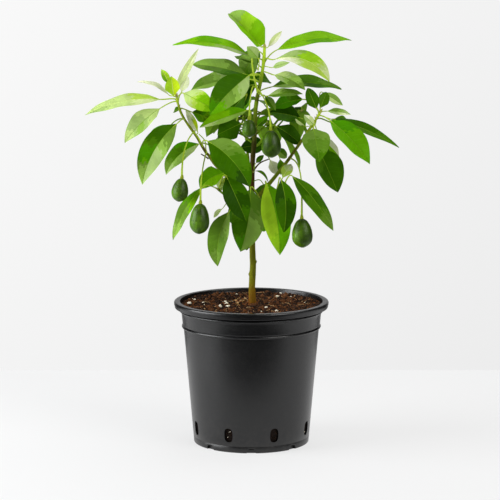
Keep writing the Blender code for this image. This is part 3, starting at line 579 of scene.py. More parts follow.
class Tree:
    """All the limbs and masses of the plant, grown one after another."""

    def __init__(self) -> None:
        """Lay out the trunk and the boughs, then the masses that grow on from them."""
        self.limbs: dict[str, tuple[Ring, list[float]]] = {"trunk": trunk_path()}
        for name, row in BOUGHS.items():
            self.limbs[name] = self.bough(*row)
        self.limb_trees = [skin_tree(limb_rings(points, radii, 8, TEST_FATTEN))
                           for points, radii in self.limbs.values()]
        self.masses: dict[str, Mass] = {}
        for name, row in MASSES.items():
            self.masses[name] = self.mass(name, *row)

    def fits(self, mass: Mass, rings: list[Ring], blade: Optional[list[Ring]] = None) -> bool:
        """Say whether a new piece stays in its room and clear of what it must not touch.

        Args:
            mass: The mass that it joins.
            rings: The piece's skin, a little fattened.
            blade: A leaf's blade, which keeps clear of this mass's blades, or None.

        Returns:
            True where it fits.
        """
        if not mass.holds(rings):
            return False
        skins = [skin for other in self.masses.values() if other is not mass for skin in other.skins]
        tree = skin_tree(rings)
        if any(tree.overlap(skin) for skin in self.limb_trees + skins):
            return False
        if blade is None:
            return True
        blade_tree = skin_tree(blade)
        return not any(blade_tree.overlap(own) for own in mass.blades)

    def trunk_side(self, height: float, bearing: float) -> Vector:
        """Return the point just clear of the trunk's side at a height and a bearing.

        Args:
            height: The height in the row frame.
            bearing: The compass bearing.

        Returns:
            The point.
        """
        points, radii = self.limbs["trunk"]
        share = (height - TRUNK_FOOT) / (TRUNK_TOP - TRUNK_FOOT)
        centre, _ = along(points, share)
        radius = ramp([(p.z, r) for p, r in zip(points, radii)], height)
        return centre + polar(bearing, 0.0) * (radius + GAP)

    def bough(self, height: float, bearing: float, length: float, rises: Sequence[Row],
              radii: Row) -> tuple[Ring, list[float]]:
        """Return a tapering bough's path and radii, its root clear of the trunk.

        Args:
            height: The height of its root.
            bearing: Its compass bearing.
            length: Its length.
            rises: Rows of (share of the length, degrees above level).
            radii: Its radius at the root and at the tip.

        Returns:
            The path and the radii.
        """
        path = limb_path(self.trunk_side(height, bearing), bearing, length, rises)
        count = len(path) - 1
        return path, [radii[0] + (radii[1] - radii[0]) * (i / count) ** 0.8 for i in range(count + 1)]

    def mass(self, name: str, origin: Union[str, float], length: float, rises: Sequence[Row],
             radii: Row, bearing: float, room: tuple[Row, Row]) -> Mass:
        """Start a mass at a limb's tip, or at the trunk's side where origin is a height.

        Args:
            name: The mass's name.
            origin: The limb's name, or the height.
            length: The stem's length.
            rises: Rows of (share of the length, degrees above level).
            radii: The stem's radius at its root and at its tip.
            bearing: The stem's compass bearing.
            room: The two far corners of the box that it keeps to.

        Returns:
            The mass.
        """
        if isinstance(origin, str):
            tip = self.limbs[origin][0]
            way = (tip[-1] - tip[-2]).normalized()
            root = tip[-1] + way * GAP
            path = limb_path(root, bearing, length, rises, 12.0)
            path[1] = root + way * FIRST_STEP
        else:
            path = limb_path(self.trunk_side(origin, bearing), bearing, length, rises, 12.0)
        return Mass(name, path, radii, room)

    def add_leaf(self, mass: Mass, label: str, path: Ring, share: float, sizes: Sequence) -> bool:
        """Add a leaf to a mass unless it would touch a limb or another mass.

        Args:
            mass: The mass.
            label: The leaf's name.
            path: The stem or twig that it grows on.
            share: The share of that path.
            sizes: The leaf's stalk, blade, face, width, bow, sweep and fold.

        Returns:
            True where the leaf fits.
        """
        root, way = along(path, share)
        leaf = Leaf(root, way, *sizes, label=label, share=share)
        blade = leaf.rings(0.0, True)
        if not self.fits(mass, leaf.rings(TEST_FATTEN), blade):
            return False
        mass.leaves.append(leaf)
        mass.skins.append(skin_tree(leaf.rings()))
        mass.blades.append(skin_tree(blade))
        return True

    def add_fruit(self, mass: Mass, share: float, sizes: Sequence) -> None:
        """Add a fruit and its stalk to a mass unless they would touch another mass.

        Args:
            mass: The mass.
            share: The share of its stem.
            sizes: The fruit's stalk, drop, length, width, lean and label.
        """
        root, _ = along(mass.path, share)
        fruit = Fruit(root, *sizes)
        if self.fits(mass, fruit.rings()):
            mass.fruits.append(fruit)
            mass.skins.append(skin_tree(fruit.rings()))

    def add_twig(self, mass: Mass, root: Vector, bearing: float, length: float,
                 rise: float) -> Optional[Ring]:
        """Add a side twig to a mass, and return its path if it fits.

        Args:
            mass: The mass.
            root: Where the twig starts.
            bearing: Its compass bearing.
            length: Its length.
            rise: Its degrees above level.

        Returns:
            The path, or None.
        """
        path = limb_path(root, bearing, length, ((0.0, rise * 0.5), (0.4, rise), (1.0, rise + 12.0)), 8.0)
        radii = [1.5 - 0.4 * i / (len(path) - 1) for i in range(len(path))]
        if not self.fits(mass, limb_rings(path, radii, 6, TEST_FATTEN)):
            return None
        mass.twigs.append((path, radii))
        mass.skins.append(skin_tree(limb_rings(path, radii)))
        return path

    def grow_rule(self, mass: Mass, seed: int, twigs: int, leaves: int, bearing: float,
                  spread: float, lengths: Row) -> None:
        """Branch twigs from a mass's stem by a seeded rule, with leaves in a spiral.

        Args:
            mass: The mass that grows.
            seed: The seed of its own run of numbers.
            twigs: How many twigs it tries.
            leaves: How many leaves it tries.
            bearing: The compass bearing that it spreads about.
            spread: How far its twigs turn from that bearing.
            lengths: The shortest and the longest blade.
        """
        rng = random.Random(seed)
        turn = rng.uniform(0.0, 360.0)
        paths = [mass.path]
        for index in range(twigs):
            share = 0.35 + 0.5 * (index + 0.5) / twigs
            root, _ = along(mass.path, share)
            side = bearing + spread * (1 if index % 2 else -1) * rng.uniform(0.35, 1.0)
            path = self.add_twig(mass, root, side, rng.uniform(26.0, 44.0), rng.uniform(15.0, 45.0))
            if path:
                paths.append(path)
        for index in range(leaves):
            path = paths[index % len(paths)]
            tier = index // len(paths)
            share = 1.0 - 0.13 * tier if path is not mass.path else 1.0 - 0.10 * tier
            turn += GOLDEN_ANGLE
            for _ in range(6):
                outward = turn + rng.uniform(-18.0, 18.0)
                if math.cos(math.radians(outward - bearing)) < -0.3:
                    outward += 180.0
                rise = rng.uniform(-62.0, 8.0) + 14.0 * (tier == 0)
                length = rng.uniform(*lengths)
                stalk_way = polar(outward, rise * 0.3 + 22.0)
                blade_way = polar(outward, rise)
                sizes = ((rng.uniform(15.0, 24.0), *front_angles(stalk_way)),
                         (length, *front_angles(blade_way)),
                         face_of(blade_way, rng.uniform(-25.0, 25.0)),
                         length * rng.uniform(0.38, 0.46), rng.uniform(0.04, 0.10),
                         rng.uniform(-0.05, 0.05), rng.uniform(10.0, 20.0))
                label = f"{mass.name}_rule_{len(mass.leaves)}"
                if self.add_leaf(mass, label, path, max(share, 0.3), sizes):
                    break


def front_angles(way: Vector) -> tuple[float, float]:
    """Return a direction's heading in the front plane and its turn to the front."""
    return math.degrees(math.atan2(way.z, way.x)), math.degrees(math.asin(max(-1.0, min(1.0, -way.y))))


def face_of(way: Vector, tilt: float) -> float:
    """Return the face angle that turns a blade's upper side to the sky, then tilts it."""
    toward, across = blade_axes(way)
    sky = UP - way * UP.dot(way)
    return math.degrees(math.atan2(sky.dot(across), sky.dot(toward))) + tilt


# Boughs: height of the root, bearing, length, rise along it, and end radii.
BOUGHS = {
    "left_bough": (352.0, 188.0, 84.0, ((0.0, 0.0), (0.06, 46.0), (0.7, 46.0), (1.0, 60.0)), (3.2, 2.3)),
    "right_bough": (349.5, -8.0, 72.0, ((0.0, 0.0), (0.06, 48.0), (0.3, 50.0), (1.0, 53.0)), (3.2, 2.3)),
    "back_bough": (356.0, 96.0, 70.0, ((0.0, 0.0), (0.1, 44.0), (1.0, 50.0)), (3.0, 2.2)),
}

# Masses: the limb whose tip or the trunk height where the stem starts, its length,
# its rise, its end radii, its bearing, and the room's two far corners.
MASSES = {
    "top_foliage": ("trunk", 76.0, ((0.0, 78.0), (0.5, 80.0), (1.0, 89.0)), (2.9, 2.3), 0.0,
                    ((-125.0, -75.0, 395.0), (160.0, 110.0, 640.0))),
    "left_foliage": ("left_bough", 94.0, ((0.0, 62.0), (0.3, 60.0), (1.0, 63.0)), (2.2, 1.7), 189.0,
                     ((-240.0, -90.0, 270.0), (10.0, 110.0, 580.0))),
    "right_foliage": ("right_bough", 83.0, ((0.0, 55.0), (0.6, 56.0), (1.0, 60.0)), (2.2, 1.7), -6.0,
                      ((15.0, -90.0, 265.0), (225.0, 110.0, 530.0))),
    "front_left_foliage": (330.0, 66.0, ((0.0, 5.0), (0.1, 34.0), (1.0, 38.0)), (1.9, 1.5), 217.0,
                           ((-115.0, -90.0, 245.0), (10.0, 10.0, 400.0))),
    "front_right_foliage": (336.0, 70.0, ((0.0, 5.0), (0.1, 34.0), (1.0, 38.0)), (1.9, 1.5), -44.0,
                            ((-45.0, -90.0, 265.0), (120.0, 10.0, 415.0))),
    "back_left_foliage": (430.0, 72.0, ((0.0, 5.0), (0.1, 35.0), (1.0, 42.0)), (1.9, 1.5), 140.0,
                          ((-75.0, -45.0, 380.0), (10.0, 150.0, 535.0))),
    "back_right_foliage": (424.0, 72.0, ((0.0, 5.0), (0.1, 38.0), (1.0, 44.0)), (1.9, 1.5), 44.0,
                           ((-40.0, -45.0, 390.0), (86.0, 150.0, 535.0))),
    "back_foliage": ("back_bough", 62.0, ((0.0, 50.0), (1.0, 64.0)), (2.1, 1.6), 98.0,
                     ((-66.0, 8.0, 300.0), (74.0, 190.0, 500.0))),
    "back_low_foliage": (334.0, 44.0, ((0.0, 0.0), (0.2, 16.0), (1.0, 26.0)), (1.9, 1.5), 92.0,
                         ((-60.0, 2.0, 235.0), (60.0, 140.0, 385.0))),
}

# Leaves.  Each row: share of the stem, stalk (length, heading, near), blade (length,
# heading, near), face, width and bow, then sweep and fold where they aren't 0 and 14.
LEAVES = {
    "top_foliage": {
        "crown_leaf": (1.0, (7, 165, 35), (72, 138, -35), 36, 52, 0.04, 0.0, 34),
        "upper_left_long": (0.72, (21, 155, -11), (113, 173, -12), 62, 31, 0.11, 0.0, 12),
        "upper_left_grey": (0.45, (21, 168, -17), (81, 170, -8), 54, 36, 0.05, 0.0, 12),
        "behind_tip": (0.80, (18, 145, -41), (58, -115, -45), 20, 30, 0.06),
        "lower_left_dark": (0.30, (33, 168, -25), (74, -166, -15), 50, 34, 0.07),
        "front_left_broad": (0.42, (22, 159, 38), (83, -136, 22), 22, 42, 0.06, 0.02, 16),
        "tip_bud_leaf": (0.97, (7, 25, -35), (31, 48, -20), 10, 9, 0.04),
        "upper_right_long": (0.85, (25, 20, -5), (102, 5, -10), 64, 34, 0.10, 0.0, 12),
        "right_pale_broad": (0.78, (16, 1, 30), (85, -21, 10), 40, 36, 0.14, -0.12, 14),
        "right_narrow": (0.62, (10, -8, 36), (34, 14, 42), 30, 12, 0.05),
        "right_grey_green": (0.52, (19, -6, 25), (52, -24, 25), 40, 22, 0.07, -0.04, 14),
        "right_long_dark": (0.12, (23, 27, -20), (101, -3, -10), 62, 32, 0.09, 0.0, 12),
        "right_low_dark": (0.10, (24, 5, 55), (50, 3, 0), 55, 18, 0.06),
        "top_back_left": (0.66, (20, 130, -60), (88, 160, -62), 58, 36, 0.10),
        "top_back_right": (0.50, (20, 10, -60), (86, -18, -58), 58, 36, 0.10),
        "top_back": (0.36, (22, 100, -68), (90, -70, -58), 40, 38, 0.08, 0.0, 16),
        "low_back_left": (0.20, (22, 150, -60), (80, -145, -50), 45, 36, 0.08, 0.0, 16),
    },
    "left_foliage": {
        "far_left_long": (0.93, (26, 175, 0), (102, -170, 5), 60, 28, 0.10, 0.0, 12),
        "left_pale": (0.90, (29, -165, 12), (69, -136, 12), 40, 32, 0.06, 0.02, 16),
        "left_sliver": (0.99, (14, 165, -29), (50, 160, -15), 70, 14, 0.05, 0.0, 12),
        "left_bud": (0.96, (25, 120, -5), (20, 117, -10), 20, 8, 0.04),
        "left_young": (1.0, (5, 160, 33), (25, 96, 0), 0, 17, 0.04, 0.0, 26),
        "left_narrow": (1.0, (7, 96, -24), (70, 61, -10), 10, 12, 0.05),
        "left_grey": (0.97, (16, 57, -54), (27, 69, -30), 10, 14, 0.05),
        "left_bright": (0.86, (16, 79, 25), (48, -32, 20), 20, 23, 0.06, 0.0, 16),
        "left_small_upright": (0.35, (6, 80, -50), (29, 120, -10), 10, 10, 0.05),
        "left_big_hanging": (0.62, (25, -165, 50), (99, -120, 14), 15, 38, 0.06, 0.08, 18),
        "left_low_dark": (0.40, (19, -71, 28), (64, -138, 8), 40, 30, 0.06, 0.10, 14),
        "left_behind": (0.80, (19, -26, -43), (32, -22, -30), 20, 22, 0.05),
        "centre_glossy": (0.12, (25, 72, 59), (89, -46, 16), 5, 44, 0.06, -0.08, 18),
        "left_back_hanging": (0.62, (22, -150, -55), (82, -125, -38), 40, 34, 0.07, 0.0, 16),
        "left_back_level": (0.80, (20, -150, -58), (76, -152, -60), 55, 32, 0.09),
        "left_back_inner": (0.35, (20, -20, -60), (76, -40, -50), 35, 34, 0.08, 0.0, 16),
    },
    "right_foliage": {
        "right_fold_dark": (0.97, (10, 117, 27), (32, 113, 5), 0, 14, 0.04, 0.0, 20),
        "right_fold_green": (0.97, (9, 78, -10), (22, 78, -15), 0, 12, 0.04),
        "right_pale_back": (0.96, (13, 65, -35), (32, 4, -15), 50, 14, 0.05),
        "right_tip_small": (0.98, (11, 17, 2), (34, -8, 5), 45, 12, 0.05),
        "far_right_long": (0.92, (17, -11, 3), (107, -23, -3), 56, 32, 0.09, 0.0, 12),
        "right_bright": (0.90, (23, -7, 42), (84, -47, 14), 34, 34, 0.06, -0.02, 16),
        "right_round": (0.80, (17, -145, 43), (60, -69, 40), 5, 34, 0.06),
        "right_hanging": (0.70, (31, -71, -10), (70, -66, 0), 10, 40, 0.06, 0.0, 16),
        "right_sliver": (0.75, (28, -58, -25), (42, -47, -25), 50, 18, 0.05),
        "right_small_up": (0.86, (9, -109, 23), (21, 134, 10), 20, 12, 0.05),
        "right_inner": (0.93, (32, 133, -17), (48, -163, -20), 48, 26, 0.06),
        "right_inner_small": (0.72, (14, -180, -46), (24, 144, -20), 30, 14, 0.05),
        "right_back_hanging": (0.62, (22, -10, -55), (80, -40, -50), 40, 34, 0.07, 0.0, 16),
        "right_back_level": (0.84, (20, 20, -58), (76, -20, -60), 55, 32, 0.09),
        "right_back_low": (0.50, (24, -30, -55), (70, -62, -45), 35, 30, 0.07, 0.0, 16),
    },
    "front_left_foliage": {
        "low_left_short": (0.97, (26, 71, -10), (43, -147, -4), 35, 30, 0.06, 0.10, 14),
        "low_left_long": (0.99, (23, 169, 0), (85, -119, -8), 45, 27, 0.06, 0.04, 16),
        "centre_dark": (0.93, (27, 71, 23), (70, -66, 5), 10, 35, 0.06, 0.0, 16),
        "low_hanging": (0.50, (19, -119, 49), (80, -102, 0), 28, 32, 0.06, 0.06, 18),
        "low_left_sliver": (0.60, (8, -172, 11), (34, -122, -20), 50, 14, 0.05),
        "low_behind": (0.90, (23, 73, -28), (36, -119, -35), 20, 20, 0.05),
    },
    "front_right_foliage": {
        "centre_front_large": (0.20, (29, 119, 12), (92, -99, 0), 0, 48, 0.04, -0.04, 16),
        "front_two_tone": (0.35, (32, 86, 26), (99, -79, 4), 0, 40, 0.06, -0.05, 18),
        "front_dark": (0.70, (31, 70, 42), (75, -87, 6), 5, 31, 0.06, -0.06, 16),
        "low_right_long": (0.98, (18, 47, -5), (92, -53, 4), 32, 31, 0.06, -0.02, 16),
        "right_behind_pale": (0.85, (18, 72, -36), (28, 54, -40), 20, 16, 0.05),
    },
    "back_left_foliage": {
        "mid_left_bright": (0.10, (43, 92, 10), (72, -160, 0), 25, 25, 0.05),
        "mid_left_round": (0.25, (28, 102, 42), (46, -140, 36), 20, 38, 0.06),
        "inner_left_dark": (0.45, (49, 77, 6), (31, -130, -20), 20, 26, 0.06),
    },
    "back_right_foliage": {
        "inner_right_upper": (0.80, (36, 5, 29), (45, 170, -10), 40, 30, 0.06),
        "inner_right_mid": (0.60, (14, 19, 72), (51, -33, -5), 40, 34, 0.06),
        "inner_right_low": (0.30, (23, -47, 13), (31, -41, -30), 20, 22, 0.06),
        "behind_trunk": (0.20, (14, -40, -40), (40, -172, -10), 20, 24, 0.06),
    },
    "back_foliage": {},
    "back_low_foliage": {
        "back_low_middle": (1.0, (16, -90, -70), (88, -95, -58), 40, 36, 0.08, 0.0, 16),
        "back_low_left": (0.80, (20, 180, -60), (82, -104, -46), 30, 34, 0.07, 0.0, 16),
        "back_low_right": (0.70, (20, 0, -60), (84, -76, -48), 30, 34, 0.07, 0.0, 16),
        "back_low_tip": (0.96, (18, 50, -66), (76, -50, -66), 50, 32, 0.08),
        "back_low_inner": (0.50, (16, -150, -30), (70, -98, -22), 10, 28, 0.06, 0.0, 16),
    },
}

# Fruit: mass, share of the stem, stalk chord (length, heading, near), how the stalk
# sets off (heading, near, length), fruit length, width and lean.
FRUITS = {
    "left_high_fruit": ("left_foliage", 0.42, (72, -106, 26), (-140, 30, 18), 33, 23.5, -8),
    "left_low_fruit": ("left_foliage", 0.06, (78, -97, 30), (-110, 50, 16), 43, 27.7, -3),
    "centre_high_fruit": ("top_foliage", 0.08, (41, -109, 30), (170, 30, 12), 25, 20.0, 0),
    "centre_low_fruit": ("top_foliage", 0.05, (56, -72, 24), (-10, 30, 14), 38.5, 27.7, 2),
    "right_fruit": ("right_foliage", 0.06, (90, -78, 27), (-5, 30, 22), 41, 29.0, 2),
}

# Trims of leaves that are drawn a little off their solids: new values of a leaf's own
# fields, and "shrink", a share by which the blade's length and width are cut.
TRIMS: dict[str, dict] = {
    "crown_leaf": {"blade": (76, 136, -35), "width": 39, "hands": (0.98, 0.58), "peak": 0.75,
                   "blunt": 0.5},
    "upper_left_long": {"width": 28},
    "upper_left_grey": {"stalk": (21, 174, -17), "width": 33},
    "lower_left_dark": {"hands": (1.0, 0.6)},
    "upper_right_long": {"share": 0.60, "stalk": (33, 53, -5), "blade": (108, 6.3, -10), "bow": 0.095,
                         "width": 34, "hands": (1.2, 0.95)},
    "right_pale_broad": {"width": 30, "sweep": -0.12, "peak": 1.3},
    "right_narrow": {"stalk": (17, 6, 36), "blade": (34, 20, 42), "width": 9},
    "top_back_left": {"share": 0.56, "blade": (60, 165, -62), "width": 34},
    "top_back_right": {"share": 0.30, "stalk": (20, 150, -50), "shrink": 0.6},
    "top_back": {"stalk": (22, 120, -68), "blade": (84, -118, -50)},
    "far_left_long": {"blade": (109, -168.3, 5), "face": 54, "width": 26, "fold": 6, "peak": 0.85},
    "left_bright": {"stalk": (20, 78, 25), "blade": (54, -27, 20), "width": 29},
    "left_narrow": {"stalk": (7.5, 112, -24), "width": 11},
    "left_bud": {"blade": (23, 118, -10), "width": 11},
    "left_young": {"blade": (28, 97, 0), "width": 21},
    "left_sliver": {"bow": 0.12},
    "left_small_upright": {"stalk": (5, 80, -50), "blade": (37, 118, -10), "width": 11},
    "left_back_inner": {"share": 0.18, "blade": (70, -50, -50)},
    "left_back_level": {"stalk": (8, -150, -60), "shrink": 0.3},
    "left_back_hanging": {"stalk": (30, -160, -30), "blade": (80, -118, -38)},
    "right_hanging": {"hands": (0.75, 1.10)},
    "right_bright": {"hands": (1.0, 1.12)},
    "far_right_long": {"width": 22, "bow": 0.065},
    "right_round": {"stalk": (13.6, -98, 58.5), "blade": (58, -80, 41.5), "width": 39},
    "right_pale_back": {"stalk": (36, 77, -35), "blade": (34, -34, -10), "face": 20, "width": 12},
    "right_back_hanging": {"stalk": (30, -64, -38), "blade": (74, -66, -50), "width": 30},
    "right_back_level": {"stalk": (32, -12, -40), "blade": (70, -35, -60), "width": 26},
    "low_left_long": {"blade": (89, -118.5, -8), "hands": (0.72, 1.10)},
    "low_left_sliver": {"stalk": (17.5, -134, 8), "blade": (19, -132, -15), "width": 9},
    "low_behind": {"shrink": 0.75},
    "low_right_long": {"blade": (97, -53, 4), "hands": (1.0, 0.70)},
    "front_two_tone": {"blade": (104, -79.5, 4)},
    "front_dark": {"width": 29.5},
    "inner_right_low": {"width": 17, "shrink": 0.8},
    "inner_right_mid": {"blade": (45, -37, -5), "width": 27},
    "right_fold_dark": {"width": 18, "blunt": 0.75},
    "right_fold_green": {"blade": (24, 68, -15), "width": 16, "blunt": 0.75},
    "mid_left_bright": {"hands": (1.0, 0.62)},
    "right_inner_small": {"shrink": 0.7},
    "back_low_inner": {"stalk": (10, -120, -30), "blade": (70, -92, -22)},
    "back_low_left": {"blade": (82, -98, -46)},
    "back_right_foliage_rule_10": {"shrink": 0.6},
}

# How far a stem is drawn off its solid, in rows of (share of the stem, shift to the right).
STEM_BENDS = {
    "left_foliage": ((0.0, 0.0), (0.15, -2.1), (0.41, -2.8), (0.64, -5.6), (0.81, -5.0), (0.95, -1.4),
                     (1.0, 0.0)),
}

# Where a fruit is drawn to hang: its stalk's length, heading and near from the twig, the
# place where the drawn stalk starts, and how it sets off.
FRUIT_DROPS = {
    "centre_high_fruit": ((37.6, -111.5, 33.0), (3.0, -6.0, 510.0), (-125.0, 20.0, 7.0)),
    "centre_low_fruit": ((51.1, -65.6, 26.5), (4.4, -6.0, 509.0), (-30.0, 20.0, 12.0)),
}

# Inner leaves that only the drawing has: mass, label, root, base and tip of the blade,
# face, width and bow, then sweep and fold where they aren't 0 and 14.
INNER_LEAVES = (
    ("back_left_foliage", "mid_left_round", (-4.0, 6.0, 440.0), (-14.0, 6.0, 456.0), (-48.0, 2.0, 440.0),
     10, 33, 0.06, 0.0, 12),
    ("top_foliage", "top_grey_leaf", (9.5, 0.0, 531.0), (9.4, -3.0, 548.0), (-6.0, -6.0, 565.0),
     20, 17, 0.06),
    ("back_right_foliage", "trunk_small_leaf", (3.7, -4.0, 391.0), (6.5, -16.0, 402.3), (17.7, -16.0, 413.6),
     20, 8, 0.06),
    ("back_right_foliage", "inner_pale_leaf", (22.0, 6.0, 412.0), (26.4, 10.0, 403.3), (34.9, 14.0, 382.9),
     20, 15, 0.06),
    ("back_right_foliage", "inner_green_leaf", (38.0, 0.0, 412.0), (40.4, 0.0, 406.0), (41.9, 2.0, 383.0),
     20, 12, 0.06),
    ("back_right_foliage", "inner_curved_leaf", (2.3, -4.0, 388.0), (3.3, -5.0, 389.6), (23.4, -16.0, 375.4),
     60, 7, 0.22),
    ("back_right_foliage", "inner_top_leaf", (4.0, -5.0, 448.0), (7.9, -10.0, 453.8), (23.3, -12.0, 466.7),
     20, 11, 0.06),
    ("top_foliage", "inner_grey_leaf", (7.5, 0.0, 491.0), (19.0, -4.0, 496.0), (34.0, -6.0, 475.0),
     20, 12, 0.06),
)

# The seeded rule: mass, seed, twigs, leaves, bearing, spread, blade lengths.
RULE = (
    ("back_foliage", 11, 4, 20, 95.0, 75.0, (58.0, 80.0)),
    ("back_left_foliage", 23, 3, 11, 135.0, 60.0, (50.0, 72.0)),
    ("back_right_foliage", 37, 3, 11, 50.0, 60.0, (50.0, 72.0)),
)


def grow_tree() -> Tree:
    """Lay out the whole plant: limbs, named leaves, fruit, then the seeded rule."""
    tree = Tree()
    for mass_name, rows in LEAVES.items():
        for label, (share, *sizes) in rows.items():
            mass = tree.masses[mass_name]
            tree.add_leaf(mass, label, mass.path, share, sizes)
    for label, (mass_name, share, *sizes) in FRUITS.items():
        tree.add_fruit(tree.masses[mass_name], share, [*sizes, label])
    for mass_name, *row in RULE:
        tree.grow_rule(tree.masses[mass_name], *row)
    for mass in tree.masses.values():
        trim_mass(mass)
    return tree


def trim_mass(mass: Mass) -> None:
    """Give a grown mass its drawn shape: trimmed leaves, a bent stem and inner leaves.

    Args:
        mass: The mass, which is changed.
    """
    drawn = [trimmed(mass, leaf) for leaf in mass.leaves]
    bend = STEM_BENDS.get(mass.name)
    if bend:
        count = len(mass.path) - 1
        mass.path = [point + RIGHT * smooth_ramp(bend, i / count) for i, point in enumerate(mass.path)]
        drawn = [rerooted(leaf, *along(mass.path, leaf.share)) for leaf in drawn]
    for mass_name, label, root, base, tip, *sizes in INNER_LEAVES:
        if mass_name == mass.name:
            stalk, blade = Vector(base) - Vector(root), Vector(tip) - Vector(base)
            drawn.append(Leaf(Vector(root), stalk.normalized(), leg(stalk), leg(blade), *sizes, label=label))
    mass.leaves = drawn
    mass.fruits = [dropped(fruit) for fruit in mass.fruits]


def leg(step: Vector) -> Row:
    """Return a step as its length, heading and near."""
    return (step.length, *front_angles(step.normalized()))


def trimmed(mass: Mass, leaf: Leaf) -> Leaf:
    """Return a leaf with the trims of its label.

    Args:
        mass: The mass that it grows on.
        leaf: The leaf as it grew.

    Returns:
        The leaf as it is drawn.
    """
    trim = dict(TRIMS.get(leaf.label, {}))
    shrink = trim.pop("shrink", 1.0)
    if "share" in trim:
        trim["root"], trim["way"] = along(mass.path, trim["share"])
    made = replace(leaf, **trim)
    return replace(made, blade=(made.blade[0] * shrink, *made.blade[1:]), width=made.width * shrink)


def rerooted(leaf: Leaf, root: Vector, way: Vector) -> Leaf:
    """Return a leaf whose stalk starts at another root while its blade stays."""
    return replace(leaf, root=root, way=way, stalk=leg(leaf.base - root))


def dropped(fruit: Fruit) -> Fruit:
    """Return a fruit with its stalk's root and line where they are drawn.

    Args:
        fruit: The fruit as it grew.

    Returns:
        The fruit as it is drawn.
    """
    if fruit.label not in FRUIT_DROPS:
        return fruit
    stalk, place, drop = FRUIT_DROPS[fruit.label]
    root = Vector(place)
    return replace(fruit, root=root, stalk=leg(replace(fruit, stalk=stalk).knob() - root), drop=drop)


Value = Union["Wire", float]


class Wire:
    """A socket of a tree of nodes, on which sums are written as Python expressions."""

    def __init__(self, nodes: Nodes, socket: bpy.types.NodeSocket) -> None:
        """Keep the socket and the nodes that it belongs to."""
        self.nodes = nodes
        self.socket = socket

    def sum(self, operation: str, first: Value, second: Value) -> Wire:
        """Add one Math node on two values."""
        return self.nodes.node("ShaderNodeMath", {"operation": operation}, {0: first, 1: second})

    def __add__(self, other: Value) -> Wire:
        """Return self + other."""
        return self.sum("ADD", self, other)

    def __radd__(self, other: Value) -> Wire:
        """Return other + self."""
        return self.sum("ADD", other, self)

    def __sub__(self, other: Value) -> Wire:
        """Return self - other."""
        return self.sum("SUBTRACT", self, other)

    def __rsub__(self, other: Value) -> Wire:
        """Return other - self."""
        return self.sum("SUBTRACT", other, self)

    def __mul__(self, other: Value) -> Wire:
        """Return self * other."""
        return self.sum("MULTIPLY", self, other)

    def __rmul__(self, other: Value) -> Wire:
        """Return other * self."""
        return self.sum("MULTIPLY", other, self)

    def between(self, low: float, high: float) -> Wire:
        """Return how far the value has come from low to high, held from 0 to 1."""
        return self.nodes.node("ShaderNodeMapRange", {"clamp": True}, {0: self, 1: low, 2: high})

    def spread(self, ends: Row) -> Wire:
        """Return the value carried from one span to another: low, high, new low, new high."""
        return self.nodes.node("ShaderNodeMapRange", inputs={0: self, **dict(enumerate(ends, 1))})


class Nodes:
    """A tree of shader nodes, made by one method for every kind of node."""

    def __init__(self, tree: bpy.types.NodeTree) -> None:
        """Keep the tree."""
        self.tree = tree

    def node(self, kind: str, settings: Optional[dict] = None, inputs: Optional[dict] = None,
             output: Union[int, str] = 0) -> Wire:
        """Add a node.

        Args:
            kind: The node's type.
            settings: Its settings, set first; "stops" are a ramp's (place, colour) rows.
            inputs: The value or the wire for each of its sockets.
            output: Which output is wanted.

        Returns:
            The wire from that output.
        """
        made = self.tree.nodes.new(kind)
        for name, value in (settings or {}).items():
            if name == "stops":
                stops = made.color_ramp.elements
                while len(stops) < len(value):
                    stops.new(1.0)
                for stop, (place, colour) in zip(stops, value):
                    stop.position = place
                    stop.color = (*colour, 1.0)
            else:
                setattr(made, name, value)
        for key, value in (inputs or {}).items():
            self.feed(made.inputs[key], value)
        return Wire(self, made.outputs[output])

    def feed(self, socket: bpy.types.NodeSocket, value: Union[Wire, float, tuple]) -> None:
        """Link a wire to a socket, or set the socket's own value.

        Args:
            socket: The socket.
            value: The wire, number or colour.
        """
        if isinstance(value, Wire):
            self.tree.links.new(value.socket, socket)
        elif socket.type == "RGBA" and len(value) == 3:
            socket.default_value = (*value, 1.0)
        else:
            socket.default_value = value


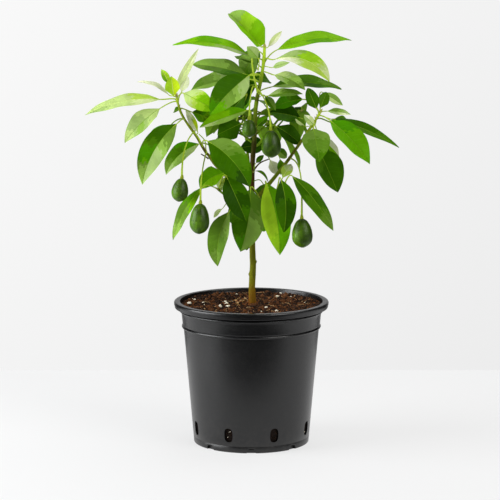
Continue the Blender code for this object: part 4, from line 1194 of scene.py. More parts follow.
class Look(Nodes):
    """A material under construction."""

    def __init__(self, name: str, **plain: float) -> None:
        """Start a material, with plain values for sockets of its shader.

        Args:
            name: The material's name.
            plain: Socket names, with _ for each space, and the value of each.
        """
        self.material = bpy.data.materials.new(name)
        self.material.use_nodes = True
        super().__init__(self.material.node_tree)
        self.shader = self.tree.nodes["Principled BSDF"]
        for socket, value in plain.items():
            self.shader.inputs[socket.replace("_", " ")].default_value = value

    def place(self) -> Wire:
        """Return the point's place in the row frame, in metres."""
        return self.node("ShaderNodeTexCoord", output="Object")

    def height(self) -> Wire:
        """Return the point's height in metres."""
        return self.node("ShaderNodeSeparateXYZ", inputs={0: self.place()}, output="Z")

    def noise(self, scale: float, detail: float = 3.0, stretch: Row = (1.0, 1.0, 1.0)) -> Wire:
        """Return a soft noise from 0 to 1, with scale in cycles a metre.

        Args:
            scale: Its cycles in a metre.
            detail: How many finer noises it adds.
            stretch: What each axis is multiplied by.

        Returns:
            The noise.
        """
        spot = self.place()
        if stretch != (1.0, 1.0, 1.0):
            spot = self.node("ShaderNodeVectorMath", {"operation": "MULTIPLY"}, {0: spot, 1: stretch})
        return self.node("ShaderNodeTexNoise", inputs={"Vector": spot, "Scale": scale, "Detail": detail})

    def cells(self, scale: float, feature: str = "DISTANCE_TO_EDGE") -> Wire:
        """Return a cell pattern's distance."""
        return self.node("ShaderNodeTexVoronoi", {"feature": feature},
                         {"Vector": self.place(), "Scale": scale}, "Distance")

    def mix(self, factor: Value, low: Union[Wire, Colour], high: Union[Wire, Colour]) -> Wire:
        """Mix two colours."""
        return self.node("ShaderNodeMix", {"data_type": "RGBA"}, {0: factor, 6: low, 7: high}, 2)

    def bump(self, height: Wire, distance: float, strength: float = 1.0) -> None:
        """Feed a bump of a height to the shader's normal.

        Args:
            height: The height.
            distance: How many metres a height of one is.
            strength: The share of the bump that is used.
        """
        bumped = self.node("ShaderNodeBump", inputs={"Height": height, "Distance": distance,
                                                     "Strength": strength}, output="Normal")
        self.feed(self.shader.inputs["Normal"], bumped)

    def dress(self, colour: Union[Wire, Colour], roughness: Value) -> None:
        """Feed the shader's base colour and roughness."""
        self.feed(self.shader.inputs["Base Color"], colour)
        self.feed(self.shader.inputs["Roughness"], roughness)


@dataclass(frozen=True)
class LeafFinish:
    """A leaf's skin: a green with soft mottling, fine cells and an uneven wax."""

    name: str
    green: Colour
    gloss: float = 0.38
    shine: float = 0.02

    def veined(self) -> LeafFinish:
        """Return the slightly paler finish of this green's veins."""
        return LeafFinish(self.name + "_vein", tuple(1.18 * part + 0.005 for part in self.green),
                          self.gloss, self.shine)

    def build(self) -> bpy.types.Material:
        """Make the material."""
        look = Look(self.name, Specular_IOR_Level=self.shine)
        mottle = look.noise(55.0, 3.0).between(0.35, 0.68)
        light = tuple(min(0.9, 1.12 * part) for part in self.green)
        deep = tuple(0.84 * part for part in self.green)
        look.dress(look.mix(mottle * 0.75 + look.noise(420.0, 2.0) * 0.25, light, deep),
                   self.gloss - 0.07 + 0.14 * look.noise(90.0, 2.0))
        look.bump(look.cells(520.0).between(0.0, 0.12), 0.00006, 0.5)
        return look.material


@dataclass(frozen=True)
class StemFinish:
    """A green or woody stem: long faint streaks and small pale pores."""

    name: str
    light: Colour
    dark: Colour
    gloss: float = 0.5

    def build(self) -> bpy.types.Material:
        """Make the material."""
        look = Look(self.name, Specular_IOR_Level=0.07)
        streak = look.noise(420.0, 3.0, (1.0, 1.0, 0.18)).between(0.3, 0.7)
        pores = 1 - look.cells(380.0, "F1").between(0.10, 0.26)
        look.dress(look.mix(pores * 0.35, look.mix(streak, self.light, self.dark), (0.48, 0.50, 0.10)),
                   self.gloss + 0.15 * streak)
        look.bump(streak + pores * 0.4, 0.00025, 0.5)
        return look.material


@dataclass(frozen=True)
class BarkFinish:
    """The trunk's bark: brown at the foot, olive, red brown where the boughs part, green above."""

    name: str
    stops: tuple[tuple[float, Colour], ...]
    foot: float
    top: float

    def build(self) -> bpy.types.Material:
        """Make the material."""
        look = Look(self.name, Specular_IOR_Level=0.05)
        streak = look.noise(300.0, 4.0, (1.0, 1.0, 0.16))
        patch = look.noise(60.0, 2.0)
        height = look.height() + (patch - 0.5) * 0.035
        age = height.between(self.foot * MM, self.top * MM)
        colour = look.node("ShaderNodeValToRGB", {"stops": self.stops}, {0: age})
        crack = streak.between(0.52, 0.72)
        pores = 1 - look.cells(260.0, "F1").between(0.10, 0.24)
        aged = look.mix(crack * 0.55, colour, (0.035, 0.022, 0.010))
        look.dress(look.mix(pores * 0.26, aged, (0.34, 0.32, 0.07)), 0.55 + 0.25 * streak)
        look.bump(streak * 0.7 - crack * 0.6 + pores * 0.3, 0.0005, 0.7)
        return look.material


@dataclass(frozen=True)
class FruitFinish:
    """A young avocado's skin: dark green, pebbled, with small pale freckles and a soft shine."""

    name: str = "fruit_skin"
    green: Colour = (0.052, 0.125, 0.001)
    deep: Colour = (0.020, 0.052, 0.0)
    freckle: Colour = (0.20, 0.34, 0.02)

    def toned(self, name: str, part: float) -> FruitFinish:
        """Return this skin under another name, paler or deeper by a part, for the painted light and painted
        shade of the fruit's sides.
        """
        return FruitFinish(name, *(tuple(min(0.9, part * value) for value in colour)
                                   for colour in (self.green, self.deep, self.freckle)))

    def build(self) -> bpy.types.Material:
        """Make the material."""
        look = Look(self.name, Specular_IOR_Level=0.24)
        mottle = look.noise(70.0, 3.0).between(0.35, 0.65)
        spot = 1 - look.cells(900.0, "F1").between(0.12, 0.24)
        skin = look.mix(mottle, self.green, self.deep)
        look.dress(look.mix(spot * 0.55, skin, self.freckle), 0.30 + 0.14 * look.noise(260.0, 2.0))
        look.bump(look.cells(620.0, "SMOOTH_F1"), 0.0005, 0.55)
        return look.material


@dataclass(frozen=True)
class PotPlasticFinish:
    """Moulded charcoal plastic: satin, fine grain, faint drag marks, dust low down."""

    name: str = "pot_plastic"
    black: Colour = (0.0014, 0.0015, 0.0018)
    worn: Colour = (0.0038, 0.0040, 0.0044)
    dust: Colour = (0.050, 0.043, 0.036)

    def build(self) -> bpy.types.Material:
        """Make the material."""
        look = Look(self.name, Specular_IOR_Level=0.56)
        cloud = look.noise(28.0, 4.0)
        drag = look.noise(90.0, 3.0, (1.0, 1.0, 9.0)).between(0.55, 0.80)
        grain = look.noise(1400.0, 2.0)
        low = 1 - look.height().between(0.0, 0.055)
        dusty = (low * 0.18 + 0.03) * look.noise(160.0, 5.0).between(0.42, 0.72)
        plastic = look.mix(cloud.between(0.3, 0.7) * 0.6 + drag * 0.4, self.black, self.worn)
        look.dress(look.mix(dusty, plastic, self.dust), 0.25 + 0.09 * cloud + 0.07 * drag + dusty * 0.3)
        look.bump(grain * 0.5 + drag * 0.35 + look.noise(220.0, 2.0) * 0.5, 0.00018, 0.5)
        return look.material


@dataclass(frozen=True)
class GritFinish:
    """Loose grit, crumb, fibre or perlite: a mottled, matt, pitted skin."""

    name: str
    light: Colour
    dark: Colour
    pitted: float = 0.0012

    def build(self) -> bpy.types.Material:
        """Make the material."""
        look = Look(self.name, Specular_IOR_Level=0.18)
        blotch = look.noise(170.0, 4.0).between(0.32, 0.68)
        fine = look.noise(900.0, 3.0)
        look.dress(look.mix(blotch * 0.7 + fine * 0.3, self.light, self.dark), 0.82 + 0.15 * fine)
        look.bump(fine + look.noise(380.0, 3.0), self.pitted, 0.6)
        return look.material


class Tone(Enum):
    """The greens that leaves are dealt, from old and shaded to young and pale. Each is partly a leaf's own
    green and partly painted light: the dark greens are painted shade, the grey, satin, gloss, soft and milky
    greens are a painted sheen of the waxy skin, and the pale greens are partly painted light on halves that
    face the lamps.
    """

    DEEP = LeafFinish("leaf_deep", (0.016, 0.060, 0.0), 0.40)
    DARK = LeafFinish("leaf_dark", (0.032, 0.110, 0.0), 0.38)
    LEAF = LeafFinish("leaf_green", (0.052, 0.150, 0.002))
    MID = LeafFinish("leaf_mid", (0.052, 0.210, 0.001))
    SAGE = LeafFinish("leaf_sage", (0.085, 0.185, 0.012))
    GREY = LeafFinish("leaf_grey", (0.120, 0.225, 0.026))
    BRIGHT = LeafFinish("leaf_bright", (0.090, 0.280, 0.001))
    FRESH = LeafFinish("leaf_fresh", (0.150, 0.370, 0.002))
    SATIN = LeafFinish("leaf_satin", (0.200, 0.350, 0.050), 0.36, 0.05)
    GLOSS = LeafFinish("leaf_gloss", (0.275, 0.400, 0.115), 0.34, 0.08)
    LIME = LeafFinish("leaf_lime", (0.240, 0.470, 0.012), 0.40)
    YOUNG = LeafFinish("leaf_young", (0.330, 0.570, 0.018), 0.40)
    GOLD = LeafFinish("leaf_gold", (0.430, 0.600, 0.010), 0.40)
    PEAR = LeafFinish("leaf_pear", (0.350, 0.520, 0.060), 0.42)
    PALE = LeafFinish("leaf_pale", (0.400, 0.535, 0.165), 0.44)
    SOFT = LeafFinish("leaf_soft", (0.500, 0.600, 0.250), 0.46)
    MILKY = LeafFinish("leaf_milky", (0.640, 0.690, 0.430), 0.50)
    RIB = LeafFinish("leaf_rib", (0.145, 0.270, 0.014), 0.45)
    PALE_RIB = LeafFinish("leaf_pale_rib", (0.560, 0.680, 0.200), 0.45)
    UNDER = LeafFinish("leaf_under", (0.130, 0.265, 0.012), 0.62)
    PALE_UNDER = LeafFinish("leaf_pale_under", (0.400, 0.580, 0.080), 0.60)


Halves = tuple[tuple[Tone, ...], tuple[Tone, ...]]


def greens(row: str) -> Halves:
    """Return the greens of a leaf's two halves from their names, a stroke between them.

    Args:
        row: The names, from stalk to tip.

    Returns:
        The greens of the right half and of the left half.
    """
    right, left = row.split("/")
    return (tuple(Tone[word.upper()] for word in right.split()),
            tuple(Tone[word.upper()] for word in left.split()))


# The greens of each leaf, from stalk to tip: the half on its right hand, seen from the stalk
# with its upper side to the eye, then the half on its left. The halves, and the steps from
# stalk to tip, differ partly by painted light: a half turned to the lamps is dealt a paler,
# greyer green, which is painted highlight and sheen, and a half turned away is dealt a darker green, which
# is painted shade.
LEAF_GREENS = {
    "crown_leaf": "fresh lime satin / fresh satin",
    "upper_left_long": "fresh bright fresh / gloss fresh fresh",
    "upper_left_grey": "grey satin satin / dark sage grey",
    "behind_tip": "satin sage / grey leaf",
    "lower_left_dark": "gloss grey sage / satin",
    "front_left_broad": "dark dark mid / gloss grey bright",
    "tip_bud_leaf": "milky / soft",
    "upper_right_long": "fresh bright fresh / fresh",
    "right_pale_broad": "milky pear pear / gloss lime soft",
    "right_narrow": "gloss / gloss",
    "right_grey_green": "gloss grey sage / pale satin grey",
    "right_long_dark": "satin dark leaf / leaf leaf sage",
    "right_low_dark": "sage / gloss sage sage",
    "far_left_long": "pear pale pale / soft pale gloss",
    "left_pale": "pale gloss pale / pale satin pale",
    "left_sliver": "milky / milky",
    "left_bud": "young / fresh lime",
    "left_young": "gold / young",
    "left_narrow": "soft soft milky / soft",
    "left_grey": "milky / milky",
    "left_bright": "pale lime fresh / pale fresh fresh",
    "left_small_upright": "gold milky / milky",
    "left_big_hanging": "dark mid satin / grey gloss gloss",
    "left_low_dark": "mid leaf grey / gloss satin gloss",
    "left_behind": "bright lime / dark fresh",
    "centre_glossy": "dark dark deep / grey leaf dark",
    "right_fold_dark": "dark / dark",
    "right_fold_green": "leaf / leaf",
    "right_pale_back": "pale / satin",
    "right_tip_small": "gloss milky / grey gloss",
    "far_right_long": "leaf / dark dark leaf",
    "right_bright": "bright / mid bright bright",
    "right_round": "grey sage leaf / grey sage leaf",
    "right_hanging": "leaf dark dark / dark",
    "right_sliver": "fresh / milky",
    "right_small_up": "soft milky / pale gloss",
    "right_inner": "dark mid mid / mid",
    "right_inner_small": "sage leaf / soft",
    "low_left_short": "bright / fresh fresh lime",
    "low_left_long": "bright sage satin / fresh grey satin",
    "centre_dark": "deep / dark deep dark",
    "low_hanging": "sage sage grey / satin sage grey",
    "low_left_sliver": "soft / pale",
    "low_behind": "pale / gloss",
    "centre_front_large": "sage dark mid / sage satin satin",
    "front_two_tone": "young young lime / bright",
    "front_dark": "deep dark dark / dark deep deep",
    "low_right_long": "dark leaf sage / leaf dark grey",
    "right_behind_pale": "pear milky / pear soft",
    "mid_left_bright": "bright fresh fresh / satin satin soft",
    "mid_left_round": "dark / dark",
    "inner_left_dark": "dark / dark",
    "inner_right_upper": "deep / dark",
    "inner_right_mid": "deep / dark",
    "inner_right_low": "satin / leaf sage",
    "behind_trunk": "deep / deep",
    "top_grey_leaf": "gloss / satin",
    "trunk_small_leaf": "dark / dark",
    "inner_pale_leaf": "milky / milky",
    "inner_green_leaf": "bright / fresh",
    "inner_curved_leaf": "dark / leaf",
    "inner_top_leaf": "leaf / bright",
    "inner_grey_leaf": "leaf / grey",
}
TONES = {label: greens(row) for label, row in LEAF_GREENS.items()}
SHADED_TONES = tuple(greens(row) for row in (
    "mid / mid", "dark / leaf", "sage / leaf", "leaf / sage", "leaf / leaf", "bright / mid"))
PALE_TONES = (Tone.LIME, Tone.YOUNG, Tone.GOLD, Tone.PEAR, Tone.PALE, Tone.SOFT, Tone.MILKY)
RIB_TONES = (Tone.RIB, Tone.PALE_RIB, Tone.UNDER, Tone.PALE_UNDER)

WOOD = StemFinish("twig_wood", (0.12, 0.10, 0.020), (0.045, 0.036, 0.010))
TWIG = StemFinish("twig_green", (0.21, 0.38, 0.010), (0.10, 0.19, 0.004))
SHOOT = StemFinish("shoot_green", (0.40, 0.54, 0.045), (0.27, 0.41, 0.015), 0.42)
KNOB = StemFinish("fruit_knob", (0.29, 0.36, 0.020), (0.18, 0.24, 0.010), 0.45)
BUD = StemFinish("bud_scale", (0.42, 0.46, 0.10), (0.24, 0.22, 0.05), 0.5)
# The trunk's stops: the dark olive band high up, where the trunk stands inside the crown behind the fruit,
# is painted shade.
TRUNK_BARK = BarkFinish("trunk_bark", ((0.0, (0.19, 0.060, 0.005)), (0.05, (0.19, 0.110, 0.005)),
                                       (0.12, (0.165, 0.175, 0.006)), (0.30, (0.145, 0.155, 0.007)),
                                       (0.48, (0.15, 0.12, 0.018)), (0.60, (0.080, 0.034, 0.010)),
                                       (0.78, (0.055, 0.055, 0.008)), (1.0, (0.17, 0.27, 0.010))),
                        TRUNK_FOOT, TRUNK_TOP)
BOUGH_BARK = BarkFinish("bough_bark", ((0.0, (0.120, 0.125, 0.008)), (0.45, (0.160, 0.230, 0.012)),
                                       (1.0, (0.185, 0.220, 0.016))), 350.0, 425.0)
# Stops of the stems, from root to tip: dark brownish wood to a pale yellow-green shoot. The top stem's dark
# lower part is partly older wood and partly painted shade under the leaves and fruit.
SIDE_STEM = ((0.0, (0.110, 0.105, 0.008)), (0.45, (0.160, 0.205, 0.010)), (0.78, (0.28, 0.38, 0.02)),
             (1.0, (0.42, 0.57, 0.03)))
TOP_STEM = ((0.0, (0.09, 0.12, 0.006)), (0.3, (0.14, 0.22, 0.010)), (0.6, (0.28, 0.42, 0.015)),
            (1.0, (0.42, 0.60, 0.025)))
STEM_STOPS = {"left_foliage": SIDE_STEM, "right_foliage": SIDE_STEM, "top_foliage": TOP_STEM}
FRUIT_SKIN = FruitFinish()
# Lit and shaded copies of the fruit skin, from palest to deepest: painted light and painted shade, dealt by
# the side that a face turns to.
FRUIT_PAINTED_LIGHT_TONES = (FRUIT_SKIN.toned("fruit_skin_painted_lit", 2.1), FRUIT_SKIN.toned("fruit_skin_painted_half_lit", 1.5),
               FRUIT_SKIN, FRUIT_SKIN.toned("fruit_skin_painted_half_shade", 0.72),
               FRUIT_SKIN.toned("fruit_skin_painted_shade", 0.5))
POT_PLASTIC = PotPlasticFinish()
SOIL_GROUND = GritFinish("soil_ground", (0.060, 0.021, 0.006), (0.014, 0.0055, 0.002), 0.002)
# Darker soil for the mound's side against the pot's wall: painted shade inside the pot, seen through the
# drain holes.
SOIL_PAINTED_SHADE = GritFinish("soil_painted_shade", (0.010, 0.0045, 0.002), (0.003, 0.0015, 0.001), 0.002)
CRUMB_BROWN = GritFinish("crumb_brown", (0.13, 0.048, 0.014), (0.052, 0.019, 0.006))
CRUMB_DARK = GritFinish("crumb_dark", (0.028, 0.011, 0.004), (0.009, 0.004, 0.002))
CRUMB_RED = GritFinish("crumb_red", (0.22, 0.075, 0.018), (0.11, 0.032, 0.008))
CRUMB_TAN = GritFinish("crumb_tan", (0.34, 0.20, 0.06), (0.18, 0.095, 0.025))
FIBRE_TAN = GritFinish("fibre_tan", (0.46, 0.30, 0.14), (0.28, 0.16, 0.07), 0.0003)
PERLITE = GritFinish("perlite", (0.88, 0.84, 0.70), (0.66, 0.58, 0.42), 0.0008)

# Shoots and petioles that only the drawing has: mass, finish, end radii, and points.
SHOOTS = (
    ("left_foliage", WOOD, (1.2, 0.8), ((-60.7, -8.0, 407.5), (-63.7, -12.0, 410.3), (-70.6, -16.0, 415.0))),
    ("left_foliage", SHOOT, (0.9, 0.7), ((-61.0, -4.0, 413.0), (-63.7, -8.0, 419.9), (-65.1, -8.0, 432.4),
                                         (-73.5, -8.0, 442.3))),
    ("top_foliage", SHOOT, (1.5, 1.0), ((8.6, -2.0, 500.0), (7.0, -4.0, 509.0), (3.0, -5.0, 526.4),
                                        (0.9, -6.0, 546.1), (2.3, -4.0, 564.1))),
    ("back_right_foliage", WOOD, (1.4, 0.8), ((1.8, -1.0, 385.0), (3.7, -5.0, 390.9), (12.1, -14.0, 402.0),
                                              (24.7, -22.0, 408.7))),
    ("back_right_foliage", TWIG, (0.8, 0.6), ((2.6, -2.0, 373.5), (5.0, -5.0, 376.0), (12.2, -12.0, 377.7),
                                              (17.8, -16.0, 371.2))),
)

# The large grains of perlite, from above: right, back, and half their width.
PERLITE_GRAINS = (
    (-81.0, 24.0, 2.4), (-68.0, 8.0, 2.2), (-88.0, -8.0, 3.0), (-37.0, 24.0, 2.4), (-35.0, 0.0, 3.2),
    (-44.0, -20.0, 3.6), (-33.0, -20.0, 3.0), (-22.0, 74.0, 2.0), (42.0, 80.0, 2.7), (37.6, 56.0, 2.8),
    (21.0, -32.0, 2.2), (35.0, -64.0, 3.0), (57.0, 56.0, 1.8), (76.0, 8.0, 2.0), (14.0, -50.0, 1.5),
)


Finish = Union[LeafFinish, StemFinish, BarkFinish, FruitFinish, PotPlasticFinish, GritFinish]


@lru_cache(maxsize=None)
def material_of(finish: Finish) -> bpy.types.Material:
    """Return a finish's material, which is made at its first use."""
    return finish.build()


def outward_mesh(name: str, points: Sequence, faces: Sequence[Face]) -> bpy.types.Mesh:
    """Return a mesh whose faces are turned outward.

    Args:
        name: The mesh's name.
        points: Its points in metres.
        faces: Its faces, as numbers of points.

    Returns:
        The mesh.
    """
    mesh = bpy.data.meshes.new(name)
    mesh.from_pydata(points, [], faces)
    work = bmesh.new()
    work.from_mesh(mesh)
    bmesh.ops.recalc_face_normals(work, faces=work.faces)
    work.to_mesh(mesh)
    work.free()
    return mesh


def in_scene(name: str, data: bpy.types.ID) -> bpy.types.Object:
    """Return a new object that holds some data, placed in the scene."""
    made = bpy.data.objects.new(name, data)
    bpy.context.scene.collection.objects.link(made)
    return made


@dataclass
class Piece:
    """Points and faces of one joined piece, with a finish for each face."""

    name: str
    points: list[Row] = field(default_factory=list)
    faces: list[Face] = field(default_factory=list)
    slots: list[int] = field(default_factory=list)
    finishes: list[Union[Finish, Tone]] = field(default_factory=list)

    def slot(self, finish: Union[Finish, Tone]) -> int:
        """Return the place of a finish among the piece's materials."""
        if finish not in self.finishes:
            self.finishes.append(finish)
        return self.finishes.index(finish)

    def add(self, points: Iterable[Vector], faces: Iterable[Face], slots: Iterable[int]) -> None:
        """Add faces.

        Args:
            points: Their points, in millimetres.
            faces: The faces, as numbers of those points.
            slots: The slot of each face.
        """
        start = len(self.points)
        self.points.extend(tuple(point) for point in points)
        self.faces.extend(tuple(start + corner for corner in face) for face in faces)
        self.slots.extend(slots)

    def deal(self, start: int, choose: Callable[[Vector], int]) -> None:
        """Give faces new slots.

        Args:
            start: The number of the first face; those after it follow.
            choose: Returns the slot for a face's middle.
        """
        for index in range(start, len(self.faces)):
            corners = [Vector(self.points[corner]) for corner in self.faces[index]]
            self.slots[index] = choose(sum(corners, Vector()) / len(corners))

    def tube(self, points: Ring, radii: Sequence[float], finish: Finish, sides: int = 8) -> None:
        """Add a round tube about a path, closed by a point at each end.

        Args:
            points: The path.
            radii: The radius at each point.
            finish: The tube's finish.
            sides: How many sides it has.
        """
        ways, frames = carried_frames(points, Vector((0.31, 0.94, 0.13)).normalized())
        rings = [circle(centre, side, way.cross(side), radius, sides)
                 for centre, way, side, radius in zip(points, ways, frames, radii)]
        self.skin(rings, points[0] - ways[0] * (0.4 * radii[0]), points[-1] + ways[-1] * (0.4 * radii[-1]),
                  self.slot(finish))

    def skin(self, rings: list[Ring], first: Vector, last: Vector,
             slots: Union[int, Sequence[int]]) -> None:
        """Add rings that are joined into a skin.

        Args:
            rings: The rings, of equal count.
            first: The point that closes the first ring.
            last: The point that closes the last ring.
            slots: One slot, or one for each band between two rings.
        """
        sides = len(rings[0])
        points = [point for ring in rings for point in ring] + [first, last]
        low, high = len(points) - 2, len(points) - 1
        turns = [(k, (k + 1) % sides) for k in range(sides)]
        top = low - sides
        faces = [(b, a, low) for a, b in turns]
        faces += [(row + a, row + b, row + b + sides, row + a + sides)
                  for row in range(0, top, sides) for a, b in turns]
        faces += [(top + a, top + b, high) for a, b in turns]
        bands = [slots] * (len(rings) - 1) if isinstance(slots, int) else list(slots)
        self.add(points, faces, [slot for slot in (bands[0], *bands, bands[-1]) for _ in turns])

    def make(self, smooth: float = 50.0) -> bpy.types.Object:
        """Make the object, riding on the one body.

        Args:
            smooth: The least angle in degrees that stays a sharp edge.

        Returns:
            The object.
        """
        mesh = outward_mesh(self.name, [(x * MM, y * MM, z * MM) for x, y, z in self.points], self.faces)
        mesh.polygons.foreach_set("material_index", self.slots)
        for finish in self.finishes:
            mesh.materials.append(material_of(finish.value if isinstance(finish, Tone) else finish))
        mesh.shade_smooth()
        mesh.set_sharp_from_angle(angle=math.radians(smooth))
        made = in_scene(self.name, mesh)
        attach(made, "root")
        triangles = sum(len(face) - 2 for face in self.faces)
        LOG.info("%s: %d triangles", self.name, triangles)
        return made


@lru_cache(maxsize=None)
def between_tones(first: Tone, last: Tone, part: float) -> Tone:
    """Return the green nearest to a mix of two, so that one runs softly into the other.

    Args:
        first: The green that part 0 gives.
        last: The green that part 1 gives.
        part: How far the mix has gone to the last.

    Returns:
        The nearest green.
    """
    wanted = [(1.0 - part) * low ** 0.5 + part * high ** 0.5
              for low, high in zip(first.value.green, last.value.green)]

    def miss(tone: Tone) -> float:
        """Return how far a green is from the mix."""
        return sum((value ** 0.5 - want) ** 2 for value, want in zip(tone.value.green, wanted))

    return min((tone for tone in Tone if tone not in RIB_TONES), key=miss)


def tone_at(half: tuple[Tone, ...], share: float) -> Tone:
    """Return the green of a half at a share of its length.

    Args:
        half: The half's greens, from stalk to tip.
        share: The share of the length.

    Returns:
        The green there.
    """
    place = min(max(share * len(half) - 0.5, 0.0), len(half) - 1.0)
    low = min(int(place), max(0, len(half) - 2))
    high = min(low + 1, len(half) - 1)
    part = min(1.0, max(0.0, 1.35 * (place - low) - 0.175))
    return between_tones(half[low], half[high], round(part * 6) / 6)


@dataclass
class BladeMaker:
    """Draws a leaf finely over its solid: rib, veins, curved halves, waved margin.

    Attributes:
        veins: How many side veins a long leaf has on each half.
        vein_half: Half the width of a vein's strip.
        vein_slant: How far a vein runs to the tip for each step outward.
        rib_half: Half the width of the rib.
        quilt: How far the skin swells between two veins.
        wave: How far the margin waves, as a share of the width.
        body: The blade's thickness.
        wobble: How far the edge between two greens wanders, as a share of the length.
        columns: The places of the points across a half, from the rib to the margin.
        outline: Rows of (share of the length, share of the greatest half width).
    """

    veins: int = 9
    vein_half: float = 0.20
    vein_slant: float = 0.62
    rib_half: float = 0.40
    quilt: float = 0.34
    wave: float = 0.028
    body: float = 0.55
    wobble: float = 0.035
    columns: tuple[float, ...] = (0.22, 0.42, 0.62, 0.82, 1.0)
    outline: tuple[tuple[float, float], ...] = (
        (0.0, 0.0), (0.03, 0.13), (0.08, 0.34), (0.16, 0.62), (0.28, 0.87), (0.42, 1.0),
        (0.56, 0.955), (0.70, 0.80), (0.81, 0.585), (0.90, 0.335), (0.96, 0.14), (1.0, 0.0))

    def half(self, leaf: Leaf, share: float) -> float:
        """Return the blade's half width at a share of its length."""
        return 0.5 * leaf.width * max(0.0, smooth_ramp(self.outline, share ** leaf.peak)) ** leaf.blunt

    def row_shares(self, leaf: Leaf) -> list[tuple[float, float, bool]]:
        """Return rows of (share at the rib, quilt height, whether a vein strip follows).

        Args:
            leaf: The leaf.

        Returns:
            The rows, from stalk to tip.
        """
        veins = self.veins if leaf.length > 45.0 else 6
        thin = self.vein_half / leaf.length
        rows = [(0.012, 0.0, False)]
        for index in range(veins):
            share = 0.03 + 0.93 * ((index + 0.55) / veins) ** 0.92
            gap = 0.93 / veins
            rows.append((share - thin, 0.0, True))
            rows.append((share + thin, 0.0, False))
            if index < veins - 1:
                rows.append((share + gap * 0.33, 0.85, False))
                rows.append((share + gap * 0.66, 0.85, False))
        rows.append((0.985, 0.0, False))
        return rows

    def margin_share(self, leaf: Leaf, share: float) -> float:
        """Return the share at the margin of the row that leaves the rib at a share.

        Args:
            leaf: The leaf.
            share: The share at the rib.

        Returns:
            The share at the margin, which is nearer the tip.
        """
        slant = self.vein_slant * min(1.0, 8.0 * share)
        found = share
        for _ in range(5):
            found = min(1.0, share + slant * self.half(leaf, found) / leaf.length)
        return found

    def draw(self, piece: Piece, leaf: Leaf, halves: Halves, rng: random.Random) -> None:
        """Add the leaf's blade to a piece.

        Args:
            piece: The joined piece.
            leaf: The leaf.
            halves: The greens of its right-hand half and of its left-hand half.
            rng: The seeded numbers for its wave.
        """
        rows = self.row_shares(leaf)
        across = [-c for c in reversed(self.columns)] + [-0.001, 0.0, 0.001] + list(self.columns)
        middle = len(across) // 2
        phase = (rng.uniform(0.0, PHASES), rng.uniform(0.0, PHASES))
        waves = rng.uniform(1.6, 2.6)
        rise = math.tan(math.radians(leaf.fold))
        upper: Ring = []
        lower: Ring = []
        for share, puff, _ in rows:
            far = self.margin_share(leaf, share)
            full = self.half(leaf, far)
            rib = min(self.rib_half * (1.0 - 0.6 * share), 0.08 * full + 0.06)
            for index, column in enumerate(across):
                part = abs(column)
                half = full * leaf.hands[0 if column > 0.0 else 1]
                at = share + (far - share) * part ** 1.15
                centre, side, top = leaf.frame_at(at)
                offset = column * half
                if abs(index - middle) == 1:
                    offset = math.copysign(rib, column)
                lift = half * rise * min(1.0, 4.0 * at) * part ** 1.25
                ripple = math.sin(PHASES * waves * at + phase[0 if column > 0.0 else 1])
                lift += self.wave * leaf.width * part ** 3 * ripple * min(1.0, 5 * at)
                lift += self.quilt * puff * min(1.0, half / 14.0) * math.sin(math.pi * part ** 0.8)
                slim = min(1.0, half / 3.0)
                thick = 0.5 * self.body * slim * (1.0 - part ** 4)
                groove, ridge = 0.0, 0.0
                if index == middle:
                    groove, ridge = -0.15 * slim, rib * 1.1 * slim
                upper.append(centre + side * offset + top * (lift + thick + groove))
                lower.append(centre + side * offset + top * (lift - thick - ridge))
        self.close(piece, leaf, (upper, lower), rows, len(across), halves)

    def close(self, piece: Piece, leaf: Leaf, skins: tuple[Ring, Ring],
              rows: list[tuple[float, float, bool]], width: int, halves: Halves) -> None:
        """Join a blade's two skins at its margin and its ends, and deal out its greens.

        Args:
            piece: The joined piece.
            leaf: The leaf.
            skins: The points of the upper skin and of the lower skin, row by row.
            rows: The rows, from row_shares.
            width: How many points a row has.
            halves: The greens of its right-hand half and of its left-hand half.
        """
        upper, lower = skins
        points = list(upper)
        under = []
        for index, point in enumerate(lower):
            if index % width in (0, width - 1):
                under.append(index)
            else:
                under.append(len(points))
                points.append(point)
        tail, tip = len(points), len(points) + 1
        points += [leaf.blade_point(0.0), leaf.blade_point(1.0)]
        pale = [half[len(half) // 2] in PALE_TONES for half in halves]
        unders = [piece.slot(Tone.PALE_UNDER if is_pale else Tone.UNDER) for is_pale in pale]
        rib = piece.slot(Tone.PALE_RIB if pale[1] else Tone.RIB)
        middle = width // 2
        faces: list[Face] = []
        slots: list[int] = []

        def deal(column: int, row: int, top: bool) -> int:
            """Return the slot of a face by its column, its row and its side.

            Args:
                column: The face's column.
                row: Its row.
                top: Whether it is on the upper side.

            Returns:
                The slot.
            """
            if column in (middle - 1, middle):
                return rib
            hand = 0 if column >= middle else 1
            if not top:
                return unders[hand]
            wobble = self.wobble * math.sin(2.4 * column + 40.0 * rows[row][0])
            tone = tone_at(halves[hand], rows[row][0] + wobble)
            veined = rows[row][2] and 0 < column < width - 2
            return piece.slot(tone.value.veined() if veined else tone)

        for column in range(width - 1):
            for top, skin in ((True, list(range(len(upper)))), (False, under)):
                for row in range(len(rows) - 1):
                    a = row * width + column
                    corners = (skin[a], skin[a + 1], skin[a + 1 + width], skin[a + width])
                    faces.append(corners if top else (corners[0], *corners[:0:-1]))
                    slots.append(deal(column, row, top))
                last = (len(rows) - 1) * width + column
                faces.append((skin[column], tail, skin[column + 1])[::1 if top else -1])
                faces.append((skin[last], skin[last + 1], tip)[::1 if top else -1])
                slots += [deal(column, 0, top), deal(column, len(rows) - 1, top)]
        piece.add(points, faces, slots)


